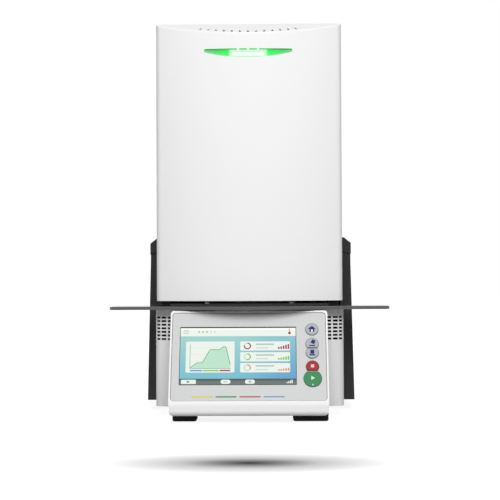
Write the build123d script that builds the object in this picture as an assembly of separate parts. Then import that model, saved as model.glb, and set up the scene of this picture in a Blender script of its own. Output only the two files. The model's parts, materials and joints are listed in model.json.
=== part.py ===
from build123d import *
import math
import os

# Dental laboratory furnace with a head that tilts back about a rear hinge.
# Millimetres. X to the right, Y to the back, Z up.
# The origin is at the middle of the footprint, on the surface the furnace stands on.

# ---------------------------------------------------------------- driving sizes
TRAY_WIDTH = 381.0          # overall width, over the two cooling wings
DEPTH = 424.0               # overall depth, console lip to rear panel
HEIGHT = 540.0              # overall height, head closed

HEAD_WIDTH = 255.0
FRONT_BULGE = 34.0          # how far the curved front stands proud of its corners
FRONT_CORNER_R = 12.0
HEAD_REAR_CORNER_R = 8.0
SHEET = 1.5                 # sheet-metal skins
MOULDED_WALL = 2.5          # moulded plastic housings
PAN_SHEET = 2.0

FOOT_HEIGHT = 9.4           # console underside
BASE_UNDERSIDE_Z = 14.6     # lower housing and column underside
LOWER_HOUSING_TOP_Z = 146.7
LOWER_HOUSING_STEP = 1.3    # the lower housing is this much wider than the head, each side
TRAY_THICKNESS = 4.4
DECK_THICKNESS = 3.9
HEAD_GAP = 3.5              # open joint between the deck and the head's skin

CONSOLE_REACH = 64.0        # console lip to the head's front
CONSOLE_TILT = 27.0         # control panel, leaning back from the vertical
CONSOLE_WIDTH = 210.0
CONSOLE_FRAME = 3.0         # white rim on each side of the faceplate
FACEPLATE_LENGTH = 126.5
FACEPLATE_SETBACK = 3.0     # console lip to the faceplate's lower edge
FACEPLATE_FOOT_Z = 29.5
DISPLAY_WIDTH = 154.7
DISPLAY_LENGTH = 84.0
DISPLAY_OFFSET_X = -14.5
KEY_COLUMN_X = 83.9
KEY_DIAMETER = 17.4
START_KEY_DIAMETER = 24.3
KEY_TRAVEL = 0.6

ARM_THICKNESS = 19.9        # at the foot of the column
ARM_TOP_THICKNESS = 14.9    # at the split line below the hinge caps
ARM_LENGTH = 160.0          # from the arms' front edge back to the hinge
ARM_TOP_Z = 223.0
CAP_TOP_Z = 248.0

HINGE_SETBACK = 62.0        # hinge to the column's rear face
HINGE_COVER_R = 27.0
HINGE_SHAFT_R = 8.0
TILT_RANGE = 42.0
COLUMN_SLOPE = 45.0         # rear slope of the hinge cover, from the horizontal

CHAMBER_R = 56.0
CHAMBER_HEIGHT = 100.0
CHAMBER_FORWARD = 6.5       # chamber's middle, ahead of the head's middle
INSULATION = 38.0
PLINTH_R = 50.0
FIRING_TRAY_R = 42.0

GEAR_MODULE = 1.5
SECTOR_TEETH = 60           # teeth of the full circle that the sector is cut from
PINION_TEETH = 15
GEAR_WIDTH = 8.0
PINION_BEARING_DEG = 292.6  # where the pinion lies, seen from the hinge

# ---------------------------------------------------------------- named clearances
GAP = 0.3                   # between parts that only lie beside each other
RUNNING = 0.05              # radial, shaft in bush
KEY_CLEARANCE = 0.15        # key in its faceplate hole
MOVING_GAP = 1.5            # between the tilting head's arms and the column
HEAD_TO_HINGE_COVER = 2.0

# ---------------------------------------------------------------- sizes worked out
FRONT_Y = -DEPTH / 2
REAR_Y = DEPTH / 2
HINGE_Y = REAR_Y - HINGE_SETBACK
HINGE_Z = ARM_TOP_Z - HINGE_COVER_R
HEAD_FRONT_Y = FRONT_Y + CONSOLE_REACH
HEAD_REAR_Y = HINGE_Y - HINGE_COVER_R - HEAD_TO_HINGE_COVER
CHAMBER_Y = (HEAD_FRONT_Y + HEAD_REAR_Y) / 2 - CHAMBER_FORWARD
HEAD_HALF = HEAD_WIDTH / 2
LOWER_HALF = HEAD_HALF + LOWER_HOUSING_STEP
ARM_INNER_X = LOWER_HALF + GAP
ARM_FRONT_Y = HINGE_Y - ARM_LENGTH
COLUMN_WIDTH = 2 * (ARM_INNER_X + ARM_THICKNESS)
COLUMN_TOP_WIDTH = 2 * (ARM_INNER_X + ARM_TOP_THICKNESS)
TRAY_TOP_Z = LOWER_HOUSING_TOP_Z + TRAY_THICKNESS
DECK_TOP_Z = TRAY_TOP_Z + DECK_THICKNESS
HEAD_BOTTOM_Z = DECK_TOP_Z + HEAD_GAP
PAN_TOP_Z = BASE_UNDERSIDE_Z + PAN_SHEET
FACEPLATE_WIDTH = CONSOLE_WIDTH - 2 * CONSOLE_FRAME
FACEPLATE_FOOT_Y = FRONT_Y + FACEPLATE_SETBACK
FRONT_ARC_R = (HEAD_HALF ** 2 + FRONT_BULGE ** 2) / (2 * FRONT_BULGE)


# ---------------------------------------------------------------- small helpers
def block(x0, x1, y0, y1, z0, z1):
    """A box given by its two opposite corners."""
    centre = Pos((x0 + x1) / 2, (y0 + y1) / 2, (z0 + z1) / 2)
    return centre * Box(abs(x1 - x0), abs(y1 - y0), abs(z1 - z0))


def rod_z(x, y, z0, z1, radius):
    return Pos(x, y, (z0 + z1) / 2) * Cylinder(radius, abs(z1 - z0))


def rod_y(x, z, y0, y1, radius):
    return Pos(x, (y0 + y1) / 2, z) * Rot(90, 0, 0) * Cylinder(radius, abs(y1 - y0))


def rod_x(y, z, x0, x1, radius):
    return Pos((x0 + x1) / 2, y, z) * Rot(0, 90, 0) * Cylinder(radius, abs(x1 - x0))


def mirrored(shape):
    """The same shape on the other side of the middle plane."""
    return mirror(shape, about=Plane.YZ)


def side_profile(points, x0, x1):
    """Extrude a closed outline of (y, z) points from x0 to x1."""
    outline = Polyline([(0, y, z) for y, z in points], close=True)
    face = make_face(outline)
    toward_x = extrude(face, amount=x1 - x0, dir=(1, 0, 0))
    return Pos(x0, 0, 0) * toward_x


def group(shapes):
    """Several separate solids kept together as one node."""
    solids = []
    for shape in shapes:
        solids.extend(shape.solids())
    return Compound(children=solids)


def plan_outline(half, inset, rear_y, rear_corner_r):
    """Face with the head's plan: arched front, round front corners, straight sides."""
    front_y = HEAD_FRONT_Y + inset
    arc_r = FRONT_ARC_R - inset
    corner_y = front_y + arc_r - math.sqrt(arc_r ** 2 - half ** 2)
    front = ThreePointArc((-half, corner_y), (0, front_y), (half, corner_y))
    right = Line((half, corner_y), (half, rear_y))
    back = Line((half, rear_y), (-half, rear_y))
    left = Line((-half, rear_y), (-half, corner_y))
    face = make_face([front, right, back, left])
    front_corners = face.vertices().sort_by(Axis.Y)[:2]
    face = fillet(front_corners, FRONT_CORNER_R - inset)
    if rear_corner_r > 0:
        rear_corners = face.vertices().sort_by(Axis.Y)[-2:]
        face = fillet(rear_corners, rear_corner_r)
    return face


def plan_slab(half, inset, rear_y, rear_corner_r, z0, z1):
    """Solid with the head's plan between two heights."""
    face = plan_outline(half, inset, rear_y, rear_corner_r)
    return Pos(0, 0, z0) * extrude(face, amount=z1 - z0)


def front_surface_y(x):
    """Y of the head's curved front at x, ahead of the round corners."""
    return HEAD_FRONT_Y + FRONT_ARC_R - math.sqrt(FRONT_ARC_R ** 2 - x ** 2)


# ---------------------------------------------------------------- head: outer skin
FACET_LENGTH = 40.0         # from the head's front to where the facet meets the flat roof
FACET_DROP = 18.6           # how far the facet falls towards the front
ROOF_EDGE_R = 1.6
VENT_COUNT = 13
VENT_FAN_R = 200.0          # the vent slots fan out about a point this far behind them
VENT_PITCH = 10.9
VENT_LENGTH = 11.0
VENT_WIDTH = 2.8
VENT_SETBACK = 8.5         # middle vent, behind the front edge

BAR_BELOW_ROOF = 39.8       # status light: a flat scoop under a level ceiling
BAR_HALF = 60.0
BAR_HEIGHT = 12.4
BAR_END_HEIGHT = 4.0        # height of the light's blunt ends
BAR_END_R = 1.7
BAR_DEPTH = 8.1
BAR_WALL = 1.2              # moulded wall between the hollow and the skin's edge
BAR_FLANGE = 5.0
BAR_FLANGE_THICKNESS = 2.5
LED_BOARD_SETBACK = 15.0    # behind the head's front
BOARD_THICKNESS = 1.6

FACET_CREASE_Y = HEAD_FRONT_Y + FACET_LENGTH
BAR_TOP_Z = HEIGHT - BAR_BELOW_ROOF
LED_BOARD_Y = HEAD_FRONT_Y + LED_BOARD_SETBACK


def facet_cutter(inset):
    """Everything above the sloping front facet, lowered by a wall thickness."""
    front_y = HEAD_FRONT_Y - 20
    slope = FACET_DROP / (FACET_CREASE_Y - HEAD_FRONT_Y)
    drop = inset * math.hypot(1, slope)
    top_z = HEIGHT + 20
    crease_z = HEIGHT - drop
    front_z = crease_z - slope * (FACET_CREASE_Y - front_y)
    back_y = FACET_CREASE_Y + (top_z - crease_z) / slope
    outline = [(front_y, front_z), (back_y, top_z), (front_y, top_z)]
    return side_profile(outline, -HEAD_WIDTH, HEAD_WIDTH)


def head_envelope(inset, z0, rear_y, rear_corner_r):
    """Closed volume of the head, each outer face moved in by inset."""
    half = HEAD_HALF - inset
    volume = plan_slab(half, inset, rear_y, rear_corner_r, z0, HEIGHT - inset)
    return volume - facet_cutter(inset)


def roof_vents():
    """Slots that fan out across the sloping facet."""
    fan_y = HEAD_FRONT_Y + VENT_SETBACK + VENT_FAN_R
    step = math.degrees(VENT_PITCH / VENT_FAN_R)
    slots = []
    for index in range(VENT_COUNT):
        turn = (index - (VENT_COUNT - 1) / 2) * step
        slot = Pos(0, -VENT_FAN_R, 0) * Rot(0, 0, 90) * SlotOverall(VENT_LENGTH, VENT_WIDTH)
        slots.append(Pos(0, fan_y, HEIGHT - 40) * Rot(0, 0, turn) * extrude(slot, amount=60))
    return slots


def bar_face(grow):
    """Outline of the status light seen from the front: level top, blunt ends, bowed lower edge."""
    half = BAR_HALF + grow
    top = BAR_TOP_Z + grow
    shoulder = BAR_TOP_Z - BAR_END_HEIGHT - grow
    bottom = BAR_TOP_Z - BAR_HEIGHT - grow
    arc = ThreePointArc((-half, 0, shoulder), (0, 0, bottom), (half, 0, shoulder))
    lid = Polyline((half, 0, shoulder), (half, 0, top), (-half, 0, top), (-half, 0, shoulder))
    face = make_face([arc, *lid.edges()])
    upper = face.vertices().sort_by(Axis.Z)[-2:]
    face = fillet(upper, BAR_END_R + grow)
    lower = face.vertices().sort_by_distance((-half, 0, shoulder))[:1]
    face = fillet(lower, BAR_END_R + grow)
    lower = face.vertices().sort_by_distance((half, 0, shoulder))[:1]
    return fillet(lower, BAR_END_R + grow)


def bar_tunnel(grow):
    """The light's outline carried back through the skin."""
    return Pos(0, HEAD_FRONT_Y - 6, 0) * extrude(bar_face(grow), amount=28, dir=(0, 1, 0))


def bar_scoop():
    """Hollow in front of the light: a flat floor that slopes up and back to a level ceiling."""
    back_y = HEAD_FRONT_Y + BAR_DEPTH
    slope = BAR_DEPTH / BAR_HEIGHT
    low_z = BAR_TOP_Z - 2 * BAR_HEIGHT
    low_y = back_y - slope * 2 * BAR_HEIGHT
    top_z = BAR_TOP_Z + 1
    outline = [(back_y, top_z), (back_y, BAR_TOP_Z), (low_y, low_z), (low_y - 20, low_z), (low_y - 20, top_z)]
    return side_profile(outline, -HEAD_HALF, HEAD_HALF) & bar_tunnel(-BAR_WALL)


def head_shell():
    outer = head_envelope(0, HEAD_BOTTOM_Z, HEAD_REAR_Y, HEAD_REAR_CORNER_R)
    roof_edges = outer.edges().filter_by(lambda edge: edge.center().Z > HEIGHT - FACET_DROP - 1)
    outer = fillet(roof_edges, ROOF_EDGE_R)
    inner = head_envelope(SHEET, HEAD_BOTTOM_Z - 1, HEAD_REAR_Y - REAR_RETURN, 0)
    rear_mouth_half = HEAD_HALF - HEAD_REAR_CORNER_R
    rear_mouth = block(-rear_mouth_half, rear_mouth_half, HEAD_REAR_Y - 20, HEAD_REAR_Y + 1,
                       HEAD_BOTTOM_Z - 1, HEIGHT - 12)
    shell = outer - inner - rear_mouth - bar_tunnel(0)
    for slot in roof_vents():
        shell -= slot
    return shell


def status_lens():
    """Clear bar with a flange glued behind the skin and two posts for its board."""
    outer = head_envelope(0, HEAD_BOTTOM_Z, HEAD_REAR_Y, 0)
    plug = bar_tunnel(-0.1) & outer
    reach = BAR_HALF + BAR_FLANGE
    low_z = BAR_TOP_Z - BAR_HEIGHT - BAR_FLANGE
    high_z = BAR_TOP_Z + BAR_FLANGE
    window = block(-reach, reach, HEAD_FRONT_Y - 5, LED_BOARD_Y, low_z, high_z)
    skin_inside = head_envelope(SHEET + 0.1, HEAD_BOTTOM_Z, HEAD_REAR_Y, 0)
    behind_flange = head_envelope(SHEET + BAR_FLANGE_THICKNESS, HEAD_BOTTOM_Z, HEAD_REAR_Y, 0)
    behind_pan = block(-reach, reach, HEAD_FRONT_Y + BAR_DEPTH + BAR_WALL, HEAD_FRONT_Y + 40, low_z, high_z)
    flange = (window & skin_inside) - behind_flange
    pan = bar_tunnel(1.5) & skin_inside
    lens = flange + plug + pan - behind_pan
    post_z = (low_z + high_z) / 2
    for x in (-50.0, 50.0):
        post_front = HEAD_FRONT_Y + BAR_DEPTH
        lens += rod_y(x, post_z, post_front, LED_BOARD_Y, 3.0)
    return lens - bar_scoop()


def status_led_board():
    """Strip of light-emitting diodes behind the lens."""
    mid_z = BAR_TOP_Z - BAR_HEIGHT / 2
    board = block(-58, 58, LED_BOARD_Y, LED_BOARD_Y + BOARD_THICKNESS, mid_z - 8, mid_z + 8)
    for index in range(7):
        x = (index - 3) * 12.0
        board += block(x - 2.5, x + 2.5, LED_BOARD_Y - 1.8, LED_BOARD_Y, mid_z - 2.5, mid_z + 2.5)
    return board


# ---------------------------------------------------------------- head: frame and hinge
BASE_PLATE_RECESS = 2.0     # base plate above the skin's lower edge
BASE_PLATE_THICKNESS = 4.0
SEAL_WIDTH = 8.0
SEAL_HEIGHT = 5.0
REAR_RETURN = 4.5           # the shell's sides turn in by this much at the back
FRAME_SHEET = 2.0
FRAME_TO_REAR = 17.0
FRAME_TO_FLANK = 27.5
FRAME_BELOW_ROOF = 70.0
BRACKET_INSET = 15.0        # hinge brackets, inside the frame's flanks
BRACKET_THICKNESS = 6.0
BRACKET_HALF_HEIGHT = 13.0
EYE_R = 16.0
BUSH_INSET = 21.5           # hinge bushes, inside the head's flanks
BUSH_LENGTH = 10.0
BUSH_WALL = 4.0
SHAFT_SPARE = 5.0           # shaft beyond each bush
SECTOR_X = 40.0

FRAME_FRONT_Y = HEAD_REAR_Y - FRAME_TO_REAR
FRAME_HALF = HEAD_HALF - FRAME_TO_FLANK
FRAME_TOP_Z = HEIGHT - FRAME_BELOW_ROOF
BRACKET_X = FRAME_HALF - BRACKET_INSET
PLATE_X = HEAD_HALF - BUSH_INSET
SHAFT_HALF = PLATE_X + BUSH_LENGTH / 2 + SHAFT_SPARE
BASE_PLATE_Z = HEAD_BOTTOM_Z + BASE_PLATE_RECESS
INNER_HALF = HEAD_HALF - SHEET - 0.1
BASE_PLATE_TOP = BASE_PLATE_Z + BASE_PLATE_THICKNESS
PANEL_FRONT_Y = HEAD_REAR_Y - SHEET
BUSH_R = HINGE_SHAFT_R + BUSH_WALL


def head_base_plate():
    """Carries the hot parts; the chamber's mouth goes through it."""
    plate = plan_slab(INNER_HALF, SHEET + 0.1, HEAD_REAR_Y - REAR_RETURN - 0.1, 0,
                      BASE_PLATE_Z, BASE_PLATE_TOP)
    return plate - rod_z(0, CHAMBER_Y, BASE_PLATE_Z - 1, BASE_PLATE_TOP + 1, CHAMBER_R + 2)


def chamber_seal():
    """Fibre rope ring that closes the gap round the chamber's mouth."""
    low_z = BASE_PLATE_Z - SEAL_HEIGHT
    ring = rod_z(0, CHAMBER_Y, low_z, BASE_PLATE_Z, CHAMBER_R + 2 + SEAL_WIDTH)
    return ring - rod_z(0, CHAMBER_Y, low_z - 1, BASE_PLATE_Z + 1, CHAMBER_R + 2)


def bracket_gaps(margin):
    """Where the two hinge brackets pass through a sheet."""
    half = BRACKET_THICKNESS / 2 + margin
    tall = BRACKET_HALF_HEIGHT + margin
    gap = block(BRACKET_X - half, BRACKET_X + half, FRAME_FRONT_Y - 1, HINGE_Y,
                HINGE_Z - tall, HINGE_Z + tall)
    return gap + mirrored(gap)


def head_rear_panel():
    """Closes the back of the head; vents at the top, slots for the hinge brackets."""
    half = HEAD_HALF - HEAD_REAR_CORNER_R - 0.1
    low_z = HEAD_BOTTOM_Z + 2
    high_z = HEIGHT - 12.1
    panel = block(-half, half, PANEL_FRONT_Y, HEAD_REAR_Y, low_z, high_z)
    panel -= bracket_gaps(1.0)
    for row in range(6):
        z = high_z - 30 - row * 12
        for column in range(7):
            x = (column - 3) * 28.0
            slot = Pos(x, HEAD_REAR_Y, z) * Rot(90, 0, 0) * extrude(SlotOverall(20, 4), amount=8, both=True)
            panel -= slot
    return panel


def head_frame():
    """Folded chassis: a back sheet with two flanges and a foot on the base plate."""
    back_y = FRAME_FRONT_Y + FRAME_SHEET
    back = block(-FRAME_HALF, FRAME_HALF, FRAME_FRONT_Y, back_y, BASE_PLATE_TOP, FRAME_TOP_Z)
    side = block(FRAME_HALF - FRAME_SHEET, FRAME_HALF, FRAME_FRONT_Y - 24, back_y, BASE_PLATE_TOP, FRAME_TOP_Z)
    foot = block(-FRAME_HALF, FRAME_HALF, FRAME_FRONT_Y - 18, back_y, BASE_PLATE_TOP, BASE_PLATE_TOP + FRAME_SHEET)
    window = block(-50, 50, FRAME_FRONT_Y - 1, back_y + 1, BASE_PLATE_TOP + 80, FRAME_TOP_Z - 80)
    return back + side + mirrored(side) + foot - window


def hinge_brackets():
    """Two arms from the head frame to the shaft, each with a flange on the frame."""
    x0 = BRACKET_X - BRACKET_THICKNESS / 2
    x1 = BRACKET_X + BRACKET_THICKNESS / 2
    root_y = FRAME_FRONT_Y + FRAME_SHEET
    arm = block(x0, x1, root_y, HINGE_Y, HINGE_Z - BRACKET_HALF_HEIGHT, HINGE_Z + BRACKET_HALF_HEIGHT)
    arm += rod_x(HINGE_Y, HINGE_Z, x0, x1, EYE_R)
    flange = block(x0 - 18, x0, root_y, root_y + 6, HINGE_Z - BRACKET_HALF_HEIGHT, HINGE_Z + BRACKET_HALF_HEIGHT)
    bracket = arm + flange - rod_x(HINGE_Y, HINGE_Z, x0 - 1, x1 + 1, HINGE_SHAFT_R)
    return group([bracket, mirrored(bracket)])


def hinge_shaft():
    """Steel shaft that turns with the head, chamfered at both ends."""
    shaft = rod_x(HINGE_Y, HINGE_Z, -SHAFT_HALF, SHAFT_HALF, HINGE_SHAFT_R)
    ends = shaft.edges().filter_by(GeomType.CIRCLE)
    return chamfer(ends, 0.8)


# ---------------------------------------------------------------- gears
PRESSURE_ANGLE = 20.0
BACKLASH = 0.10             # taken off each tooth's thickness at the pitch circle
SECTOR_SPARE_DEG = 10.0     # teeth beyond the working range, each way
GEARBOX_SHAFT_R = 4.0

SECTOR_PITCH_R = GEAR_MODULE * SECTOR_TEETH / 2
PINION_PITCH_R = GEAR_MODULE * PINION_TEETH / 2
GEAR_CENTRES = SECTOR_PITCH_R + PINION_PITCH_R
PINION_Y = HINGE_Y + GEAR_CENTRES * math.cos(math.radians(PINION_BEARING_DEG))
PINION_Z = HINGE_Z + GEAR_CENTRES * math.sin(math.radians(PINION_BEARING_DEG))


def involute(angle):
    return math.tan(angle) - angle


def tooth_flank(teeth, radius):
    """Half of a tooth's angular thickness at a radius, in radians."""
    pitch_r = GEAR_MODULE * teeth / 2
    base_r = pitch_r * math.cos(math.radians(PRESSURE_ANGLE))
    pitch_half = (math.pi * GEAR_MODULE / 2 - BACKLASH) / (2 * pitch_r)
    pressure = math.acos(min(1.0, base_r / max(radius, base_r)))
    return pitch_half + involute(math.radians(PRESSURE_ANGLE)) - involute(pressure)


def gear_tooth(teeth, bearing_deg):
    """One tooth in the plane of y and z, pointing along its bearing from the centre."""
    pitch_r = GEAR_MODULE * teeth / 2
    root_r = pitch_r - 1.25 * GEAR_MODULE
    tip_r = pitch_r + 0.95 * GEAR_MODULE
    steps = 6
    radii = [root_r - 0.6] + [root_r + (tip_r - root_r) * i / steps for i in range(steps + 1)]
    bearing = math.radians(bearing_deg)
    rising = []
    falling = []
    for radius in radii:
        half = tooth_flank(teeth, radius)
        rising.append((radius * math.cos(bearing - half), radius * math.sin(bearing - half)))
        falling.append((radius * math.cos(bearing + half), radius * math.sin(bearing + half)))
    return rising + falling[::-1]


def sector_gear():
    """Toothed sector on the hinge shaft."""
    x0 = SECTOR_X - GEAR_WIDTH / 2
    x1 = SECTOR_X + GEAR_WIDTH / 2
    pitch_deg = 360 / SECTOR_TEETH
    first_deg = PINION_BEARING_DEG - SECTOR_SPARE_DEG
    span_deg = TILT_RANGE + 2 * SECTOR_SPARE_DEG
    root_r = SECTOR_PITCH_R - 1.25 * GEAR_MODULE
    rim = [(0.0, 0.0)]
    for step in range(13):
        bearing = math.radians(first_deg + span_deg * step / 12)
        reach = (root_r + 0.05) / math.cos(math.radians(span_deg / 24))
        rim.append((reach * math.cos(bearing), reach * math.sin(bearing)))
    web = side_profile(rim, x0, x1)
    web &= rod_x(0, 0, x0, x1, root_r)
    gear = web + rod_x(0, 0, x0, x1, HINGE_SHAFT_R + 6)
    count = int(span_deg / pitch_deg)
    for index in range(count):
        # A gap of the sector faces the pinion at rest.
        bearing = PINION_BEARING_DEG + (index - 1 + 0.5) * pitch_deg
        gear += side_profile(gear_tooth(SECTOR_TEETH, bearing), x0, x1)
    gear = Pos(0, HINGE_Y, HINGE_Z) * gear
    return gear - rod_x(HINGE_Y, HINGE_Z, x0 - 1, x1 + 1, HINGE_SHAFT_R)


def drive_pinion():
    """Pinion with its shaft, turned by the gear motor."""
    x0 = SECTOR_X - GEAR_WIDTH / 2 - 1
    x1 = SECTOR_X + GEAR_WIDTH / 2 + 1
    root_r = PINION_PITCH_R - 1.25 * GEAR_MODULE
    gear = rod_x(0, 0, x0, x1, root_r)
    toward_sector = PINION_BEARING_DEG + 180
    for index in range(PINION_TEETH):
        bearing = toward_sector + index * 360 / PINION_TEETH
        gear += side_profile(gear_tooth(PINION_TEETH, bearing), x0, x1)
    gear += rod_x(0, 0, x1, MOTOR_X0 + MOTOR_NOSE_DEPTH - 1, GEARBOX_SHAFT_R)
    return Pos(0, PINION_Y, PINION_Z) * gear


MOTOR_X0 = 49.0
MOTOR_LENGTH = 50.0
MOTOR_R = 18.5
MOTOR_NOSE_DEPTH = 18.0
MOTOR_PLATE = 3.0


def gear_motor():
    """Gear motor with its output shaft's bore, a flat terminal end and a flange."""
    motor = rod_x(PINION_Y, PINION_Z, MOTOR_X0, MOTOR_X0 + MOTOR_LENGTH, MOTOR_R)
    motor += rod_x(PINION_Y, PINION_Z, MOTOR_X0 + MOTOR_LENGTH, MOTOR_X0 + MOTOR_LENGTH + 3, 9.0)
    return motor - rod_x(PINION_Y, PINION_Z, MOTOR_X0 - 1, MOTOR_X0 + MOTOR_NOSE_DEPTH, GEARBOX_SHAFT_R + RUNNING)


def motor_bracket():
    """Upright that holds the gear motor's nose, standing on the base pan."""
    x1 = MOTOR_X0
    x0 = MOTOR_X0 - MOTOR_PLATE
    half = MOTOR_R + 2
    rear_y = PINION_Y + half / 2 - 1
    upright = block(x0, x1, PINION_Y - half, rear_y, PAN_TOP_Z, PINION_Z + half)
    foot = block(x1, x1 + 24, PINION_Y - half, rear_y, PAN_TOP_Z, PAN_TOP_Z + MOTOR_PLATE)
    return upright + foot - rod_x(PINION_Y, PINION_Z, x0 - 1, x1 + 1, GEARBOX_SHAFT_R + 2)


# ---------------------------------------------------------------- head: hot parts
CAN_SHEET = 1.5
ELEMENT_CIRCLE_R = 47.0
ELEMENT_SPREAD = 20.0
ELEMENT_R = 1.5
TERMINAL_R = 4.0
ELEMENT_ABOVE_PLATE = 25.5  # bottom of the hairpins, above the base plate
TERMINAL_ABOVE_ROOF = 37.5  # terminals, above the muffle
THERMOCOUPLE_R = 3.0

MUFFLE_Z = BASE_PLATE_TOP
CHAMBER_ROOF_Z = MUFFLE_Z + CHAMBER_HEIGHT
MUFFLE_R = CHAMBER_R + INSULATION
MUFFLE_TOP_Z = CHAMBER_ROOF_Z + INSULATION
TERMINAL_PLATE_Z = MUFFLE_TOP_Z + CAN_SHEET + 16
TERMINAL_TOP_Z = MUFFLE_TOP_Z + TERMINAL_ABOVE_ROOF
ELEMENT_LOW_Z = MUFFLE_Z + ELEMENT_ABOVE_PLATE


def element_feet():
    """Plan places and bearings of the four hairpin heating elements."""
    places = []
    for index in range(4):
        bearing = math.radians(45 + 90 * index)
        x = ELEMENT_CIRCLE_R * math.cos(bearing)
        y = CHAMBER_Y + ELEMENT_CIRCLE_R * math.sin(bearing)
        places.append((x, y, math.degrees(bearing)))
    return places


def terminal_places():
    """Plan places of the eight element legs."""
    places = []
    for x, y, bearing_deg in element_feet():
        across = math.radians(bearing_deg + 90)
        for side in (-0.5, 0.5):
            shift = side * ELEMENT_SPREAD
            places.append((x + shift * math.cos(across), y + shift * math.sin(across)))
    return places


def muffle_can():
    """Sheet-metal drum round the insulation, and the ring that clamps it shut."""
    can = rod_z(0, CHAMBER_Y, MUFFLE_Z, MUFFLE_TOP_Z, MUFFLE_R + CAN_SHEET)
    can -= rod_z(0, CHAMBER_Y, MUFFLE_Z - 1, MUFFLE_TOP_Z + 1, MUFFLE_R)
    lid_top_z = MUFFLE_TOP_Z + CAN_SHEET
    lid = rod_z(0, CHAMBER_Y, MUFFLE_TOP_Z, lid_top_z, MUFFLE_R + CAN_SHEET)
    lid -= rod_z(0, CHAMBER_Y, MUFFLE_TOP_Z - 1, lid_top_z + 1, MUFFLE_R - 24)
    return group([can, lid])


def muffle_wall():
    """Fibre insulation ring with the firing chamber inside."""
    ring = rod_z(0, CHAMBER_Y, MUFFLE_Z, CHAMBER_ROOF_Z, MUFFLE_R)
    return ring - rod_z(0, CHAMBER_Y, MUFFLE_Z - 1, CHAMBER_ROOF_Z + 1, CHAMBER_R)


def thermocouple_place():
    """Between two elements, close to the chamber wall."""
    return ELEMENT_CIRCLE_R, CHAMBER_Y


def muffle_roof():
    """Fibre insulation disc that the elements and the thermocouple hang through."""
    roof = rod_z(0, CHAMBER_Y, CHAMBER_ROOF_Z, MUFFLE_TOP_Z, MUFFLE_R)
    for x, y in terminal_places():
        roof -= rod_z(x, y, CHAMBER_ROOF_Z - 1, MUFFLE_TOP_Z + 1, TERMINAL_R + GAP)
    x, y = thermocouple_place()
    return roof - rod_z(x, y, CHAMBER_ROOF_Z - 1, MUFFLE_TOP_Z + 1, THERMOCOUPLE_R + GAP)


def heating_elements():
    """Four hairpins: thin hot legs, thick terminals above the chamber roof."""
    legs = []
    for x, y, bearing_deg in element_feet():
        half = ELEMENT_SPREAD / 2
        path = Line((-half, 0, CHAMBER_ROOF_Z - 8), (-half, 0, ELEMENT_LOW_Z + half))
        path += ThreePointArc((-half, 0, ELEMENT_LOW_Z + half), (0, 0, ELEMENT_LOW_Z),
                              (half, 0, ELEMENT_LOW_Z + half))
        path += Line((half, 0, ELEMENT_LOW_Z + half), (half, 0, CHAMBER_ROOF_Z - 8))
        start = Plane(origin=(-half, 0, CHAMBER_ROOF_Z - 8), z_dir=(0, 0, -1))
        hairpin = sweep(start * Circle(ELEMENT_R), path=path)
        hairpin += rod_z(-half, 0, CHAMBER_ROOF_Z - 8, TERMINAL_TOP_Z, TERMINAL_R)
        hairpin += rod_z(half, 0, CHAMBER_ROOF_Z - 8, TERMINAL_TOP_Z, TERMINAL_R)
        legs.append(Pos(x, y, 0) * Rot(0, 0, bearing_deg + 90) * hairpin)
    return group(legs)


def terminal_plate():
    """Ceramic plate on four posts that steadies the element terminals."""
    plate = rod_z(0, CHAMBER_Y, TERMINAL_PLATE_Z, TERMINAL_PLATE_Z + 4, MUFFLE_R - 14)
    for x, y in terminal_places():
        plate -= rod_z(x, y, TERMINAL_PLATE_Z - 1, TERMINAL_PLATE_Z + 5, TERMINAL_R + GAP)
    x, y = thermocouple_place()
    plate -= rod_z(x, y, TERMINAL_PLATE_Z - 1, TERMINAL_PLATE_Z + 5, THERMOCOUPLE_R + GAP)
    post_r = MUFFLE_R - 19
    for index in range(4):
        bearing = math.radians(90 * index + 20)
        post_x = post_r * math.cos(bearing)
        post_y = CHAMBER_Y + post_r * math.sin(bearing)
        plate += rod_z(post_x, post_y, MUFFLE_TOP_Z + CAN_SHEET, TERMINAL_PLATE_Z, 4.0)
    return plate


def element_clamps():
    """A split clamp block on each element terminal."""
    blocks = []
    low_z = TERMINAL_PLATE_Z + 4
    for x, y in terminal_places():
        clamp = block(x - 7, x + 7, y - 7, y + 7, low_z, low_z + 10)
        clamp -= rod_z(x, y, low_z - 1, low_z + 11, TERMINAL_R)
        blocks.append(clamp)
    return group(blocks)


def thermocouple():
    """Sheathed probe with a ceramic connection head."""
    x, y = thermocouple_place()
    low_z = CHAMBER_ROOF_Z - 34
    head_z = TERMINAL_PLATE_Z + 4
    return rod_z(x, y, low_z, head_z + 2, THERMOCOUPLE_R) + rod_z(x, y, head_z, head_z + 16, 10.0)


def power_relay():
    """Solid-state relay on a finned heat sink, bolted to the head frame."""
    low_z = FRAME_TOP_Z - 76
    high_z = FRAME_TOP_Z - 6
    front_y = FRAME_FRONT_Y - 34
    sink = block(-58, 58, FRAME_FRONT_Y - 6, FRAME_FRONT_Y, low_z, high_z)
    for index in range(12):
        x = -55 + index * 10.0
        sink += block(x - 1, x + 1, FRAME_FRONT_Y - 26, FRAME_FRONT_Y - 6, low_z, high_z)
    return sink + block(-21, 21, front_y, FRAME_FRONT_Y - 26, low_z + 12, high_z - 12)


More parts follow.
